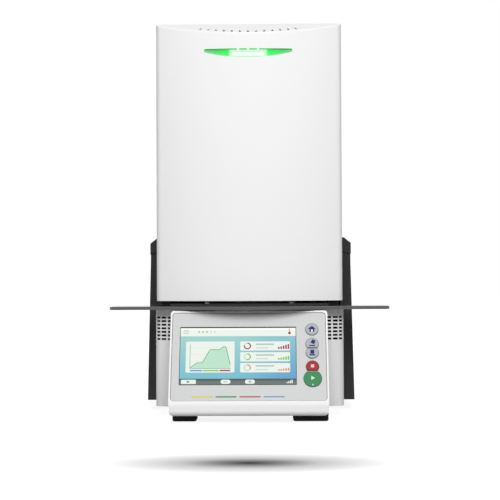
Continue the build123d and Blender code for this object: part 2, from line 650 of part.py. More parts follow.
# ---------------------------------------------------------------- base: housings
SPLIT_GAP = 1.0             # joint line between an arm and its hinge cap
SPLIT_RISE = 5.0            # the joint line climbs by this much towards the head
LAND_SETBACK = 8.0          # raised land that laps into the cap, behind the arm's front
LAND_LENGTH = 52.0
LAND_RISE = 3.5
LAND_CLEARANCE = 1.6
ARM_FRONT_EDGE_R = 3.0
COLUMN_CORNER_R = 22.0
TAPER_BELOW_TOP = 10.0
REAR_OPENING_INSET = 11.8   # rear opening, inside the arms
REAR_OPENING_Z0 = 24.0
REAR_OPENING_Z1 = 158.0
REAR_PANEL_SHEET = 1.5
SIDE_VENT_ROWS = 7
SIDE_VENT_PITCH = 4.87
SIDE_VENT_BELOW_TOP = 10.9
SIDE_VENT_HEIGHT = 2.8
SERVICE_WINDOW_INSET = 13.5 # opening behind the console, inside the console's sides
CAP_CHAMFER = 39.0          # slope of the caps' top edge

TAPER_TOP_Z = ARM_TOP_Z - TAPER_BELOW_TOP
REAR_OPENING_HALF = ARM_INNER_X - REAR_OPENING_INSET
SERVICE_WINDOW_HALF = CONSOLE_WIDTH / 2 - SERVICE_WINDOW_INSET
SIDE_VENT_TOP_Z = LOWER_HOUSING_TOP_Z - SIDE_VENT_BELOW_TOP

# Each column of vents reaches from one of these distances inside the flank to the other.
SIDE_VENT_COLUMNS = ((24.0, 17.4), (15.1, 8.5), (6.7, 2.4))


def lower_housing():
    """Pale casing under the deck: curved front, straight sides, open at the back."""
    top = LOWER_HOUSING_TOP_Z
    rear = HINGE_Y - HINGE_COVER_R - GAP
    outer = plan_slab(LOWER_HALF, 0, rear, 0, BASE_UNDERSIDE_Z, top)
    inner = plan_slab(LOWER_HALF - SHEET, SHEET, rear + 1, 0, BASE_UNDERSIDE_Z - 1, top - SHEET)
    shell = outer - inner - rod_z(0, CHAMBER_Y, top - 3, top + 1, PLINTH_R + 8)
    shell -= block(-SERVICE_WINDOW_HALF, SERVICE_WINDOW_HALF, HEAD_FRONT_Y - 5, HEAD_FRONT_Y + 25,
                   PAN_TOP_Z + 8, top - 10)
    for row in range(SIDE_VENT_ROWS):
        z = SIDE_VENT_TOP_Z - row * SIDE_VENT_PITCH
        for inner, outer in SIDE_VENT_COLUMNS:
            x0 = LOWER_HALF - inner
            x1 = LOWER_HALF - outer
            reach_y = vent_reach_y(min(x1, LOWER_HALF))
            slot = block(x0, x1, HEAD_FRONT_Y - 5, reach_y, z - SIDE_VENT_HEIGHT / 2, z + SIDE_VENT_HEIGHT / 2)
            shell = shell - slot - mirrored(slot)
    return shell


def vent_reach_y(x):
    """How far back a vent slot ending at x has to reach to pass the curved skin."""
    corner_x = LOWER_HALF - FRONT_CORNER_R
    if x <= corner_x:
        return front_surface_y(x) + 2 * SHEET
    corner_y = front_surface_y(corner_x) + FRONT_CORNER_R
    rise = min(FRONT_CORNER_R, x - corner_x)
    return corner_y - math.sqrt(FRONT_CORNER_R ** 2 - rise ** 2) + 2 * SHEET + 2


def base_pan():
    """Steel floor of the base; everything inside stands on it."""
    front = plan_slab(LOWER_HALF - SHEET - 0.2, SHEET + 0.2, HINGE_Y - HINGE_COVER_R - 2, 0,
                      BASE_UNDERSIDE_Z, PAN_TOP_Z)
    half = COLUMN_WIDTH / 2 - MOULDED_WALL - 1.0
    rear_y = REAR_Y - MOULDED_WALL - 0.2
    rear = block(-half, half, HINGE_Y - HINGE_COVER_R + 10, rear_y, BASE_UNDERSIDE_Z, PAN_TOP_Z)
    corner_cut = fillet_cutter(half, rear_y)
    neck_half = LOWER_HALF - 29.5
    neck = block(-neck_half, neck_half, HINGE_Y - HINGE_COVER_R - 10, HINGE_Y, BASE_UNDERSIDE_Z, PAN_TOP_Z)
    return front + (rear & corner_cut) + neck


def fillet_cutter(half, rear_y):
    """Keeps the pan inside the column's rounded rear corners."""
    outline = fillet((Pos(0, rear_y - 150) * Rectangle(2 * half, 300)).vertices().sort_by(Axis.Y)[-2:],
                     COLUMN_CORNER_R - MOULDED_WALL + 1)
    return extrude(outline, amount=60)


def column_envelope(inset):
    """Closed volume of the column, each outer face moved in by inset."""
    foot_half = COLUMN_WIDTH / 2 - inset
    top_half = COLUMN_TOP_WIDTH / 2 - inset
    front_y = ARM_FRONT_Y + inset
    rear_y = REAR_Y - inset
    top_z = ARM_TOP_Z - inset
    cover_r = HINGE_COVER_R - inset
    slope = math.radians(COLUMN_SLOPE)
    tangent_y = HINGE_Y + cover_r * math.sin(slope)
    tangent_z = HINGE_Z + cover_r * math.cos(slope)
    rear_z = tangent_z - (rear_y - tangent_y) * math.tan(slope)
    mid = math.radians(90 - COLUMN_SLOPE / 2)
    crown = (0, HINGE_Y + cover_r * math.cos(mid), HINGE_Z + cover_r * math.sin(mid))
    low_z = BASE_UNDERSIDE_Z - (1 if inset else 0)
    lines = Polyline((0, tangent_y, tangent_z), (0, rear_y, rear_z), (0, rear_y, low_z),
                     (0, front_y, low_z), (0, front_y, top_z), (0, HINGE_Y, top_z))
    arc = ThreePointArc((0, HINGE_Y, top_z), crown, (0, tangent_y, tangent_z))
    side = extrude(make_face([*lines.edges(), arc]), amount=COLUMN_WIDTH, dir=(1, 0, 0))
    side = Pos(-COLUMN_WIDTH / 2, 0, 0) * side
    front_view = Polyline((-foot_half, 0, low_z), (foot_half, 0, low_z), (top_half, 0, TAPER_TOP_Z),
                          (top_half, 0, HEIGHT), (-top_half, 0, HEIGHT), (-top_half, 0, TAPER_TOP_Z),
                          close=True)
    front = extrude(make_face(front_view), amount=DEPTH, dir=(0, 1, 0))
    front = Pos(0, -DEPTH / 4, 0) * front
    middle_y = (front_y + rear_y) / 2
    plan = Pos(0, middle_y) * Rectangle(2 * foot_half, rear_y - front_y)
    corners = plan.vertices().sort_by(Axis.Y)
    plan = fillet(corners[-2:], COLUMN_CORNER_R - inset)
    plan = fillet(plan.vertices().sort_by(Axis.Y)[:2], max(ARM_FRONT_EDGE_R - inset, 0.5))
    return side & front & extrude(plan, amount=HEIGHT)


def head_pocket(wall):
    """Room for the head between the arms, grown by a wall thickness."""
    half = ARM_INNER_X + wall
    rear_y = HINGE_Y - HINGE_COVER_R + wall
    low_z = BASE_UNDERSIDE_Z - 2
    pocket = block(-half, half, ARM_FRONT_Y - 5, rear_y, low_z, HEIGHT)
    over_hinge = block(-half, half, rear_y - 1, HINGE_Y, HINGE_Z, HEIGHT)
    return pocket + (over_hinge - rod_x(HINGE_Y, HINGE_Z, -half - 1, half + 1, HINGE_COVER_R - wall))


def arm_top(rise, y0, y1, grow):
    """Wedge on the right arm whose top climbs towards the head, from y0 to y1."""
    outer_x = COLUMN_TOP_WIDTH / 2 + grow
    inner_x = ARM_INNER_X - grow
    low_z = ARM_TOP_Z - 1
    top_z = ARM_TOP_Z + rise
    outline = Polyline((inner_x, 0, low_z), (outer_x, 0, low_z), (outer_x, 0, top_z),
                       (inner_x, 0, top_z + SPLIT_RISE), close=True)
    return Pos(0, y0, 0) * extrude(make_face(outline), amount=y1 - y0, dir=(0, 1, 0))


def column_housing():
    """Dark U-shaped moulding: two arms beside the head and the hinge cover behind it."""
    cavity = column_envelope(MOULDED_WALL) - head_pocket(MOULDED_WALL)
    housing = column_envelope(0) - head_pocket(0) - cavity
    slot_half = BRACKET_THICKNESS / 2 + MOVING_GAP
    slot = block(BRACKET_X - slot_half, BRACKET_X + slot_half, HINGE_Y - HINGE_COVER_R - 1, HINGE_Y - 3,
                 HINGE_Z - BRACKET_HALF_HEIGHT - MOVING_GAP, HINGE_Z + HINGE_COVER_R + 1)
    housing = housing - slot - mirrored(slot)
    opening = block(-REAR_OPENING_HALF, REAR_OPENING_HALF, REAR_Y - MOULDED_WALL - 1, REAR_Y + 1,
                    REAR_OPENING_Z0, REAR_OPENING_Z1)
    floor_gap = block(-ARM_INNER_X, ARM_INNER_X, HINGE_Y - HINGE_COVER_R - 1, HINGE_Y - 20,
                      BASE_UNDERSIDE_Z - 1, PAN_TOP_Z + GAP)
    cable_way = block(-60, 60, HINGE_Y - HINGE_COVER_R - 1, HINGE_Y - 20, PAN_TOP_Z, 60)
    land_y = ARM_FRONT_Y + LAND_SETBACK
    top = arm_top(0, ARM_FRONT_Y, HINGE_Y - 4, 0) + arm_top(LAND_RISE, land_y, land_y + LAND_LENGTH, 0)
    return housing - opening - floor_gap - cable_way + top + mirrored(top)


def hinge_caps():
    """Two covers on the head's flanks that carry on the line of the arms."""
    low_z = ARM_TOP_Z + SPLIT_GAP
    inner_x = HEAD_HALF
    outer_x = COLUMN_TOP_WIDTH / 2 + 0.7
    chamfer_run = 10.0
    drop = chamfer_run * math.tan(math.radians(CAP_CHAMFER))
    rise = SPLIT_RISE * (outer_x - inner_x) / ARM_TOP_THICKNESS
    outline = Polyline((inner_x, 0, low_z + rise), (outer_x, 0, low_z), (outer_x, 0, CAP_TOP_Z - drop),
                       (outer_x - chamfer_run, 0, CAP_TOP_Z), (inner_x, 0, CAP_TOP_Z), close=True)
    length = HINGE_Y - ARM_FRONT_Y - 6
    cap = Pos(0, ARM_FRONT_Y, 0) * extrude(make_face(outline), amount=length, dir=(0, 1, 0))
    rear_slope = side_profile([(HINGE_Y - 36, CAP_TOP_Z + 1), (HINGE_Y, low_z + 8), (HINGE_Y, CAP_TOP_Z + 1)],
                              inner_x - 1, outer_x + 1)
    cap = cap - rear_slope
    hollow = block(inner_x + 3, outer_x - 3, ARM_FRONT_Y + 3, HINGE_Y - 44, low_z - 1, CAP_TOP_Z - drop - 1)
    land_y = ARM_FRONT_Y + LAND_SETBACK
    notch = arm_top(LAND_RISE + SPLIT_GAP, land_y - LAND_CLEARANCE, land_y + LAND_LENGTH + LAND_CLEARANCE, 3)
    cap = cap - hollow - notch
    return group([cap, mirrored(cap)])


# ---------------------------------------------------------------- base: deck and firing table
TRAY_EDGE_R = 1.2
TRAY_OVERHANG = 19.0        # tray's front edge ahead of the head's front
TRAY_BULGE = 32.0           # the front edge follows the head's arc and bows forward of the wings by this much
TRAY_BLEND_R = 70.0         # rounding where the bow meets the wings
TRAY_TO_ARM = 34.0          # wings end this far ahead of the arms
TRAY_CORNER_R = 9.0
PLINTH_RISE = 13.0          # plinth above the deck
PLINTH_FLANGE = 14.0
CUP_SHEET = 2.0
CUP_DEPTH = 41.2
DECK_INSET = 5.5            # deck's sides inside the head's flanks
DECK_FRONT_INSET = 5.0
PAD_WIDTH = 13.5
PAD_SETBACK = 52.0          # rear edge of the rest pads behind the head's front
SCREW_X = 57.0

TRAY_FRONT_Y = HEAD_FRONT_Y - TRAY_OVERHANG
TRAY_REAR_Y = ARM_FRONT_Y - TRAY_TO_ARM
PLINTH_TOP_Z = DECK_TOP_Z + PLINTH_RISE
PLINTH_FLANGE_R = PLINTH_R + PLINTH_FLANGE
CUP_FLOOR_Z = TRAY_TOP_Z - CUP_DEPTH
DECK_HALF = HEAD_HALF - DECK_INSET
PAD_INNER_X = DECK_HALF - PAD_WIDTH
PAD_REAR_Y = HEAD_FRONT_Y + PAD_SETBACK


def cooling_tray():
    """One sheet under the deck whose wings stand out on both sides for hot work."""
    half = TRAY_WIDTH / 2
    corner_y = TRAY_FRONT_Y + TRAY_BULGE
    arc_r = FRONT_ARC_R + TRAY_OVERHANG
    reach = math.sqrt(arc_r ** 2 - (arc_r - TRAY_BULGE) ** 2)
    arc = ThreePointArc((-reach, corner_y), (0, TRAY_FRONT_Y), (reach, corner_y))
    edge = Polyline((reach, corner_y), (half, corner_y), (half, TRAY_REAR_Y), (-half, TRAY_REAR_Y),
                    (-half, corner_y), (-reach, corner_y))
    wings = make_face([arc, *edge.edges()])
    outer = [corner for corner in wings.vertices() if abs(corner.X) > half - 1]
    wings = fillet(outer, TRAY_CORNER_R)
    joins = [corner for corner in wings.vertices() if abs(abs(corner.X) - reach) < 0.01]
    wings = fillet(joins, TRAY_BLEND_R)
    sheet = extrude(wings, amount=TRAY_THICKNESS)
    sheet = fillet(sheet.edges().group_by(Axis.Z)[-1], TRAY_EDGE_R)
    sheet = fillet(sheet.edges().group_by(Axis.Z)[0], TRAY_EDGE_R / 3)
    rear_y = CHAMBER_Y + PLINTH_FLANGE_R + 26
    centre = block(-LOWER_HALF + 2, LOWER_HALF - 2, TRAY_REAR_Y - 10, rear_y, 0, TRAY_THICKNESS)
    tray = Pos(0, 0, LOWER_HOUSING_TOP_Z) * (sheet + centre)
    return tray - rod_z(0, CHAMBER_Y, LOWER_HOUSING_TOP_Z - 1, TRAY_TOP_Z + 1, PLINTH_FLANGE_R + 1)


def deck_plate():
    """Dark plate that the head closes on, round the firing table."""
    rear_y = HINGE_Y - HINGE_COVER_R - 4
    deck = plan_slab(DECK_HALF, DECK_FRONT_INSET, rear_y, 0, TRAY_TOP_Z, DECK_TOP_Z)
    deck -= rod_z(0, CHAMBER_Y, TRAY_TOP_Z - 1, DECK_TOP_Z + 1, PLINTH_R + 1.5)
    notch = block(PAD_INNER_X - 0.2, DECK_HALF + 5, HEAD_FRONT_Y - 5, PAD_REAR_Y + 0.2,
                  TRAY_TOP_Z - 1, DECK_TOP_Z + 1)
    return deck - notch - mirrored(notch)


def rest_pads():
    """Two rubber buffers at the deck's front corners, under the closed head."""
    slab = plan_slab(DECK_HALF, DECK_FRONT_INSET, PAD_REAR_Y, 0, TRAY_TOP_Z, HEAD_BOTTOM_Z - GAP)
    right = slab & block(PAD_INNER_X, DECK_HALF + 5, HEAD_FRONT_Y - 5, PAD_REAR_Y, 0, HEIGHT)
    return group([right, mirrored(right)])


def plinth_support():
    """Steel cup that hangs in the tray's hole and holds the insulating plinth."""
    flange_top = TRAY_TOP_Z
    flange_low = LOWER_HOUSING_TOP_Z
    cup_r = PLINTH_R + GAP + CUP_SHEET
    cup = rod_z(0, CHAMBER_Y, flange_low, flange_top, PLINTH_FLANGE_R)
    cup += rod_z(0, CHAMBER_Y, CUP_FLOOR_Z, flange_top, cup_r)
    return cup - rod_z(0, CHAMBER_Y, CUP_FLOOR_Z + CUP_SHEET, flange_top + 1, PLINTH_R + GAP)


def firing_plinth():
    """Insulating brick that plugs the chamber's mouth."""
    return rod_z(0, CHAMBER_Y, CUP_FLOOR_Z + CUP_SHEET, PLINTH_TOP_Z, PLINTH_R)


def firing_tray():
    """Ceramic disc with a low rim that carries the work."""
    disc = rod_z(0, CHAMBER_Y, PLINTH_TOP_Z, PLINTH_TOP_Z + 4.5, FIRING_TRAY_R)
    return disc - rod_z(0, CHAMBER_Y, PLINTH_TOP_Z + 3, PLINTH_TOP_Z + 5, FIRING_TRAY_R - 3)


# ---------------------------------------------------------------- base: console
CONSOLE_RIM = 0.6           # how far the white frame stands proud of the faceplate
CONSOLE_BELOW_TRAY = 1.2
CONSOLE_LAP = 30.0          # console's rear edge behind the head's front
CONSOLE_LIP_R = 7.0
CONSOLE_LOW_CORNER_R = 6.5
CONSOLE_DRAFT = 1.2         # each side draws in by this much towards the underside
CONSOLE_TOP_CORNER_R = 4.0
FACEPLATE_THICKNESS = 2.0
FACEPLATE_CORNER_R = 4.0
FACEPLATE_GAP = 0.6
DISPLAY_V = 64.1            # middle of the display, up the panel from the faceplate's foot
GLASS_RECESS = 0.4
GLASS_THICKNESS = 1.8
MODULE_DEPTH = 7.0
KEY_PROUD = 1.2
KEY_FLANGE = 0.9
SPLIT_HALF = 0.5            # half the web between two neighbouring keys

CONSOLE_TOP_Z = LOWER_HOUSING_TOP_Z - CONSOLE_BELOW_TRAY
CONSOLE_REAR_Y = HEAD_FRONT_Y + CONSOLE_LAP

# name: (place up the panel, diameter, place of its flat edge, side of the flat that is kept)
KEYS = {
    "key_home": (101.9, KEY_DIAMETER, None, 0),
    "key_head_open": (80.6, KEY_DIAMETER, 74.4, 1),
    "key_head_close": (68.2, KEY_DIAMETER, 74.4, -1),
    "key_stop": (47.8, KEY_DIAMETER, 41.5, 1),
    "key_start": (31.0, START_KEY_DIAMETER, 41.5, -1),
}

PANEL_COS = math.cos(math.radians(CONSOLE_TILT))
PANEL_SIN = math.sin(math.radians(CONSOLE_TILT))
PANEL = Plane(origin=(0, FACEPLATE_FOOT_Y, FACEPLATE_FOOT_Z), x_dir=(1, 0, 0),
              z_dir=(0, -PANEL_COS, PANEL_SIN))


def on_panel(outline, low, high):
    """Extrude a flat outline between two heights above the faceplate's front face."""
    return PANEL.location * Pos(0, 0, low) * extrude(outline, amount=high - low)


def panel_block(x0, x1, v0, v1, low, high):
    return PANEL.location * block(x0, x1, v0, v1, low, high)


def rim_y(z, offset):
    """Y of the plane that stands an offset in front of the faceplate."""
    return FACEPLATE_FOOT_Y + ((z - FACEPLATE_FOOT_Z) * PANEL_SIN - offset) / PANEL_COS


def console_envelope(inset):
    """Closed volume of the console, each outer face moved in by inset."""
    low_z = FOOT_HEIGHT + inset
    top_z = CONSOLE_TOP_Z - inset
    front_y = FRONT_Y + inset
    offset = CONSOLE_RIM - inset
    bend_z = FACEPLATE_FOOT_Z + ((front_y - FACEPLATE_FOOT_Y) * PANEL_COS + offset) / PANEL_SIN
    outline = Polyline((0, CONSOLE_REAR_Y, low_z), (0, front_y, low_z), (0, front_y, bend_z),
                       (0, rim_y(top_z, offset), top_z), (0, CONSOLE_REAR_Y, top_z), close=True)
    face = make_face(outline)
    by_front = face.vertices().sort_by(Axis.Y)
    lip = by_front[:2].sort_by(Axis.Z)[0]
    face = fillet(lip, CONSOLE_LIP_R - inset)
    bend = face.vertices().sort_by_distance((0, front_y, bend_z))[0]
    face = fillet(bend, 9.0)
    brow = face.vertices().sort_by_distance((0, rim_y(top_z, offset), top_z))[0]
    face = fillet(brow, 2.6)
    width = CONSOLE_WIDTH - 2 * inset
    side = Pos(-width / 2, 0, 0) * extrude(face, amount=width, dir=(1, 0, 0))
    half = width / 2
    low_half = half - CONSOLE_DRAFT
    draft_z = FACEPLATE_FOOT_Z + 2
    front = make_face(Polyline((-low_half, 0, low_z), (low_half, 0, low_z), (half, 0, draft_z), (half, 0, top_z),
                               (-half, 0, top_z), (-half, 0, draft_z), close=True))
    corners = front.vertices().sort_by(Axis.Z)
    front = fillet(corners[:2], CONSOLE_LOW_CORNER_R - inset)
    front = fillet(front.vertices().sort_by(Axis.Z)[-2:], CONSOLE_TOP_CORNER_R - inset)
    return side & (Pos(0, -DEPTH, 0) * extrude(front, amount=2 * DEPTH, dir=(0, 1, 0)))


def console_bezel():
    """White moulded housing of the control panel."""
    bezel = console_envelope(0) - console_envelope(MOULDED_WALL)
    half = FACEPLATE_WIDTH / 2
    middle = Pos(0, FACEPLATE_LENGTH / 2)
    bezel -= on_panel(middle * RectangleRounded(FACEPLATE_WIDTH + 2 * FACEPLATE_GAP,
                                                FACEPLATE_LENGTH + 2 * FACEPLATE_GAP,
                                                FACEPLATE_CORNER_R + FACEPLATE_GAP), -4, 3)
    ledge = panel_block(-half - 2, half + 2, -1.5, FACEPLATE_LENGTH + 1.5, -4.5, -FACEPLATE_THICKNESS)
    ledge -= panel_block(-half + 3, half - 3, 3, FACEPLATE_LENGTH - 3, -5, 0)
    bezel += ledge & console_envelope(0.2)
    return bezel - plan_slab(LOWER_HALF + 0.1, -0.1, 0, 0, BASE_UNDERSIDE_Z - 0.1, CONSOLE_TOP_Z + 5)


def display_outline(grow):
    place = Pos(DISPLAY_OFFSET_X, DISPLAY_V)
    return place * RectangleRounded(DISPLAY_WIDTH + 2 * grow, DISPLAY_LENGTH + 2 * grow, 1.0 + max(grow, 0))


def key_outline(name, grow):
    """Outline of one key: a disc, most of them with one flat side."""
    v, diameter, flat_v, keep = KEYS[name]
    outline = Pos(KEY_COLUMN_X, v) * Circle(diameter / 2 + grow)
    if keep:
        edge = flat_v + keep * (SPLIT_HALF - min(grow, KEY_CLEARANCE))
        outline -= Pos(KEY_COLUMN_X, edge - keep * 20) * Rectangle(60, 40)
    return outline


def control_faceplate():
    """Silver plate with the openings for the display and the keys."""
    plate = on_panel(Pos(0, FACEPLATE_LENGTH / 2) * RectangleRounded(FACEPLATE_WIDTH, FACEPLATE_LENGTH,
                                                                    FACEPLATE_CORNER_R),
                     -FACEPLATE_THICKNESS, 0)
    plate -= on_panel(display_outline(0.1), -FACEPLATE_THICKNESS - 1, 1)
    for name in KEYS:
        plate -= on_panel(key_outline(name, KEY_CLEARANCE), -FACEPLATE_THICKNESS - 1, 1)
    return plate


def display_glass():
    return on_panel(display_outline(0), -GLASS_RECESS - GLASS_THICKNESS, -GLASS_RECESS)


def display_module():
    """Flat display behind the glass, wider than its window."""
    front = -GLASS_RECESS - GLASS_THICKNESS
    place = Pos(DISPLAY_OFFSET_X, DISPLAY_V)
    return on_panel(place * Rectangle(DISPLAY_WIDTH + 11, DISPLAY_LENGTH + 10), front - MODULE_DEPTH, front)


def display_board():
    """Controller on four posts behind the display."""
    back = -GLASS_RECESS - GLASS_THICKNESS - MODULE_DEPTH
    x0 = DISPLAY_OFFSET_X - 70
    x1 = DISPLAY_OFFSET_X + 70
    board = panel_block(x0, x1, 24, 92, back - 5 - BOARD_THICKNESS, back - 5)
    for x in (x0 + 6, x1 - 6):
        for v in (30, 86):
            board += PANEL.location * rod_z(x, v, back - 5, back, 2.5)
    board += panel_block(x0 + 40, x0 + 64, 46, 70, back - 9.5, back - 5)
    return board


def key_switch_board():
    """Board with one switch behind each key, fixed to the back of the faceplate."""
    front = -FACEPLATE_THICKNESS - 5.2
    board = panel_block(KEY_COLUMN_X - 12, KEY_COLUMN_X + 14, 10, 116, front - BOARD_THICKNESS, front)
    for v, _, _, _ in KEYS.values():
        board += panel_block(KEY_COLUMN_X - 3, KEY_COLUMN_X + 3, v - 3, v + 3, front, front + 0.8)
    for v in (12.5, 91.4, 113.5):
        board += PANEL.location * rod_z(KEY_COLUMN_X + 10.5, v, front, -FACEPLATE_THICKNESS, 1.5)
    return board


def panel_key(name):
    """Key cap with a hidden flange that stops it behind the faceplate, and a stem."""
    v = KEYS[name][0]
    back = -FACEPLATE_THICKNESS - 0.1
    cap = on_panel(key_outline(name, 0), back - 1.2, KEY_PROUD)
    cap = key_crown(cap)
    cap += on_panel(key_outline(name, KEY_FLANGE), back - 1.2, back)
    return cap + PANEL.location * rod_z(KEY_COLUMN_X, v, back - 3.4, back - 1.2, 2.5)


def key_crown(cap):
    """Soften the rim of a key's front face."""
    outward = Vector(0, -PANEL_COS, PANEL_SIN)
    crown = max(cap.faces(), key=lambda face: face.center().dot(outward))
    return fillet(crown.edges(), 0.5)


def control_boards():
    return group([display_board(), key_switch_board()])


# ---------------------------------------------------------------- base: feet
FOOT_SETBACK = 29.0
FOOT_DEPTH = 34.0
LEFT_FOOT_X = (-101.6, -69.4)
RIGHT_FOOT_X = (58.2, CONSOLE_WIDTH / 2)
REAR_FOOT_INSET = 21.8      # rear feet, inside the arms
REAR_FOOT_TO_REAR = 32.0
REAR_FOOT_R = 15.0

FOOT_FRONT_Y = FRONT_Y + FOOT_SETBACK
REAR_FOOT_X = ARM_INNER_X - REAR_FOOT_INSET
REAR_FOOT_Y = REAR_Y - REAR_FOOT_TO_REAR


def front_foot(span):
    """Rubber foot with rounded corners and a slightly narrower sole."""
    x0, x1 = span
    middle_y = FOOT_FRONT_Y + FOOT_DEPTH / 2
    foot = Pos((x0 + x1) / 2, middle_y, 0) * extrude(RectangleRounded(x1 - x0, FOOT_DEPTH, 4.0), amount=FOOT_HEIGHT)
    return fillet(foot.edges().group_by(Axis.Z)[0], 2.4)


def front_foot_right():
    """Wider foot whose heel laps up behind the console's rounded corner."""
    foot = front_foot(RIGHT_FOOT_X)
    x1 = RIGHT_FOOT_X[1]
    heel = block(x1 - CONSOLE_LOW_CORNER_R, x1, FOOT_FRONT_Y + 2, FOOT_FRONT_Y + FOOT_DEPTH - 4,
                 FOOT_HEIGHT - 0.5, FOOT_HEIGHT + CONSOLE_LOW_CORNER_R - 1.0)
    return foot + (heel - console_envelope(0))


def rear_feet():
    """Two round rubber feet under the column."""
    foot = rod_z(REAR_FOOT_X, REAR_FOOT_Y, 0, BASE_UNDERSIDE_Z, REAR_FOOT_R)
    foot = chamfer(foot.edges().group_by(Axis.Z)[0], 1.0)
    return group([foot, mirrored(foot)])


# ---------------------------------------------------------------- base: hinge supports
PLATE_THICKNESS = 4.0


def hinge_plates():
    """Two steel uprights from the base pan to the hinge bushes."""
    x0 = PLATE_X - PLATE_THICKNESS / 2
    x1 = PLATE_X + PLATE_THICKNESS / 2
    front_y = HINGE_Y - 19
    rear_y = REAR_Y - 8
    eye = BUSH_R + 8.5
    outline = [(front_y, PAN_TOP_Z), (rear_y, PAN_TOP_Z), (rear_y, 100), (HINGE_Y + eye, HINGE_Z),
               (HINGE_Y - eye, HINGE_Z), (front_y, 120)]
    plate = side_profile(outline, x0, x1)
    plate += rod_x(HINGE_Y, HINGE_Z, x0, x1, eye)
    plate += block(x1, x1 + 18, front_y, rear_y, PAN_TOP_Z, PAN_TOP_Z + PLATE_THICKNESS)
    plate -= rod_x(HINGE_Y, HINGE_Z, x0 - 1, x1 + 1, BUSH_R)
    return group([plate, mirrored(plate)])


def hinge_bushes():
    """Two bronze bushes with a thrust flange on their inner sides."""
    x0 = PLATE_X - BUSH_LENGTH / 2
    x1 = PLATE_X + BUSH_LENGTH / 2
    bush = rod_x(HINGE_Y, HINGE_Z, x0, x1, BUSH_R)
    bush += rod_x(HINGE_Y, HINGE_Z, x0, PLATE_X - PLATE_THICKNESS / 2, BUSH_R + 3)
    bush -= rod_x(HINGE_Y, HINGE_Z, x0 - 1, x1 + 1, HINGE_SHAFT_R + RUNNING)
    return group([bush, mirrored(bush)])


# ---------------------------------------------------------------- base: electrics
TRANSFORMER_X = -64.0
TRANSFORMER_Y = HINGE_Y + 7.0
TRANSFORMER_HALF = 30.0
TRANSFORMER_HEIGHT = 56.0
TRANSFORMER_LIMB = 20.0
COIL_BUILD = 9.0
POWER_BOARD_Z = 112.0

FAN_X = 60.0
FAN_Z = 84.0
FAN_HALF = 40.0
FAN_DEPTH = 25.0
FAN_BORE_R = 37.5
ROTOR_HUB_R = 15.0
ROTOR_TIP_R = 36.0
SPINDLE_R = 2.0
BLADES = 7

INLET_X = -88.0
INLET_Z = 50.0
ROCKER_Z = 92.0
FUSE_X = (-50.0, -28.0)
FUSE_Z = 50.0
FUSE_R = 7.5
LAN_X = -46.0
USB_X = -22.0
PORT_Z = 92.0

PANEL_BACK_Y = REAR_Y - MOULDED_WALL            # outer face of the rear panel
PANEL_INSIDE_Y = PANEL_BACK_Y - REAR_PANEL_SHEET
FLANGE_Y = PANEL_BACK_Y + 2.0                   # outer face of sockets and frames


def transformer_core():
    """Laminated core with two windows."""
    x0 = TRANSFORMER_X - TRANSFORMER_HALF
    x1 = TRANSFORMER_X + TRANSFORMER_HALF
    half_y = TRANSFORMER_LIMB / 2 + 2
    top_z = PAN_TOP_Z + TRANSFORMER_HEIGHT
    core = block(x0, x1, TRANSFORMER_Y - half_y, TRANSFORMER_Y + half_y, PAN_TOP_Z, top_z)
    limb = TRANSFORMER_LIMB / 2
    for sign in (-1, 1):
        inner = TRANSFORMER_X + sign * limb
        outer = TRANSFORMER_X + sign * (TRANSFORMER_HALF - limb)
        core -= block(inner, outer, TRANSFORMER_Y - half_y - 1, TRANSFORMER_Y + half_y + 1,
                      PAN_TOP_Z + limb, top_z - limb)
    return core


def transformer_coil():
    """Winding round the middle limb."""
    low_z = PAN_TOP_Z + TRANSFORMER_LIMB / 2 + 1
    high_z = PAN_TOP_Z + TRANSFORMER_HEIGHT - TRANSFORMER_LIMB / 2 - 1
    limb_x = TRANSFORMER_LIMB / 2
    limb_y = TRANSFORMER_LIMB / 2 + 2
    coil = block(TRANSFORMER_X - limb_x - COIL_BUILD, TRANSFORMER_X + limb_x + COIL_BUILD,
                 TRANSFORMER_Y - limb_y - COIL_BUILD, TRANSFORMER_Y + limb_y + COIL_BUILD, low_z, high_z)
    return coil - block(TRANSFORMER_X - limb_x, TRANSFORMER_X + limb_x,
                        TRANSFORMER_Y - limb_y, TRANSFORMER_Y + limb_y, low_z - 1, high_z + 1)


def power_board():
    """Mains board on four posts above the transformer."""
    x0 = -98.0
    x1 = 14.0
    y0 = HINGE_Y - 19.0
    y1 = HINGE_Y + 30.0
    board = block(x0, x1, y0, y1, POWER_BOARD_Z, POWER_BOARD_Z + BOARD_THICKNESS)
    for x in (x0 + 3, x1 - 3):
        for y in (y0 + 3, y1 - 3):
            board += rod_z(x, y, PAN_TOP_Z, POWER_BOARD_Z, 2.5)
    top = POWER_BOARD_Z + BOARD_THICKNESS
    board += block(-86, -62, HINGE_Y - 4, HINGE_Y + 20, top, top + 22)
    board += rod_z(-42, HINGE_Y + 8, top, top + 30, 9)
    board += rod_z(-20, HINGE_Y + 8, top, top + 30, 9)
    return board + block(-12, 10, HINGE_Y - 12, HINGE_Y + 24, top, top + 16)


def fan_frame():
    """Square fan housing with its spindle on four struts."""
    y1 = PANEL_INSIDE_Y
    y0 = y1 - FAN_DEPTH
    frame = block(FAN_X - FAN_HALF, FAN_X + FAN_HALF, y0, y1, FAN_Z - FAN_HALF, FAN_Z + FAN_HALF)
    frame -= rod_y(FAN_X, FAN_Z, y0 - 1, y1 + 1, FAN_BORE_R)
    for turn in (45, 135):
        strut = Box(2 * FAN_BORE_R + 4, 3, 4)
        frame += Pos(FAN_X, y0 + 1.5, FAN_Z) * Rot(0, turn, 0) * strut
    frame += rod_y(FAN_X, FAN_Z, y0, y0 + 3, ROTOR_HUB_R)
    return frame + rod_y(FAN_X, FAN_Z, y0 + 3, y0 + 15, SPINDLE_R)


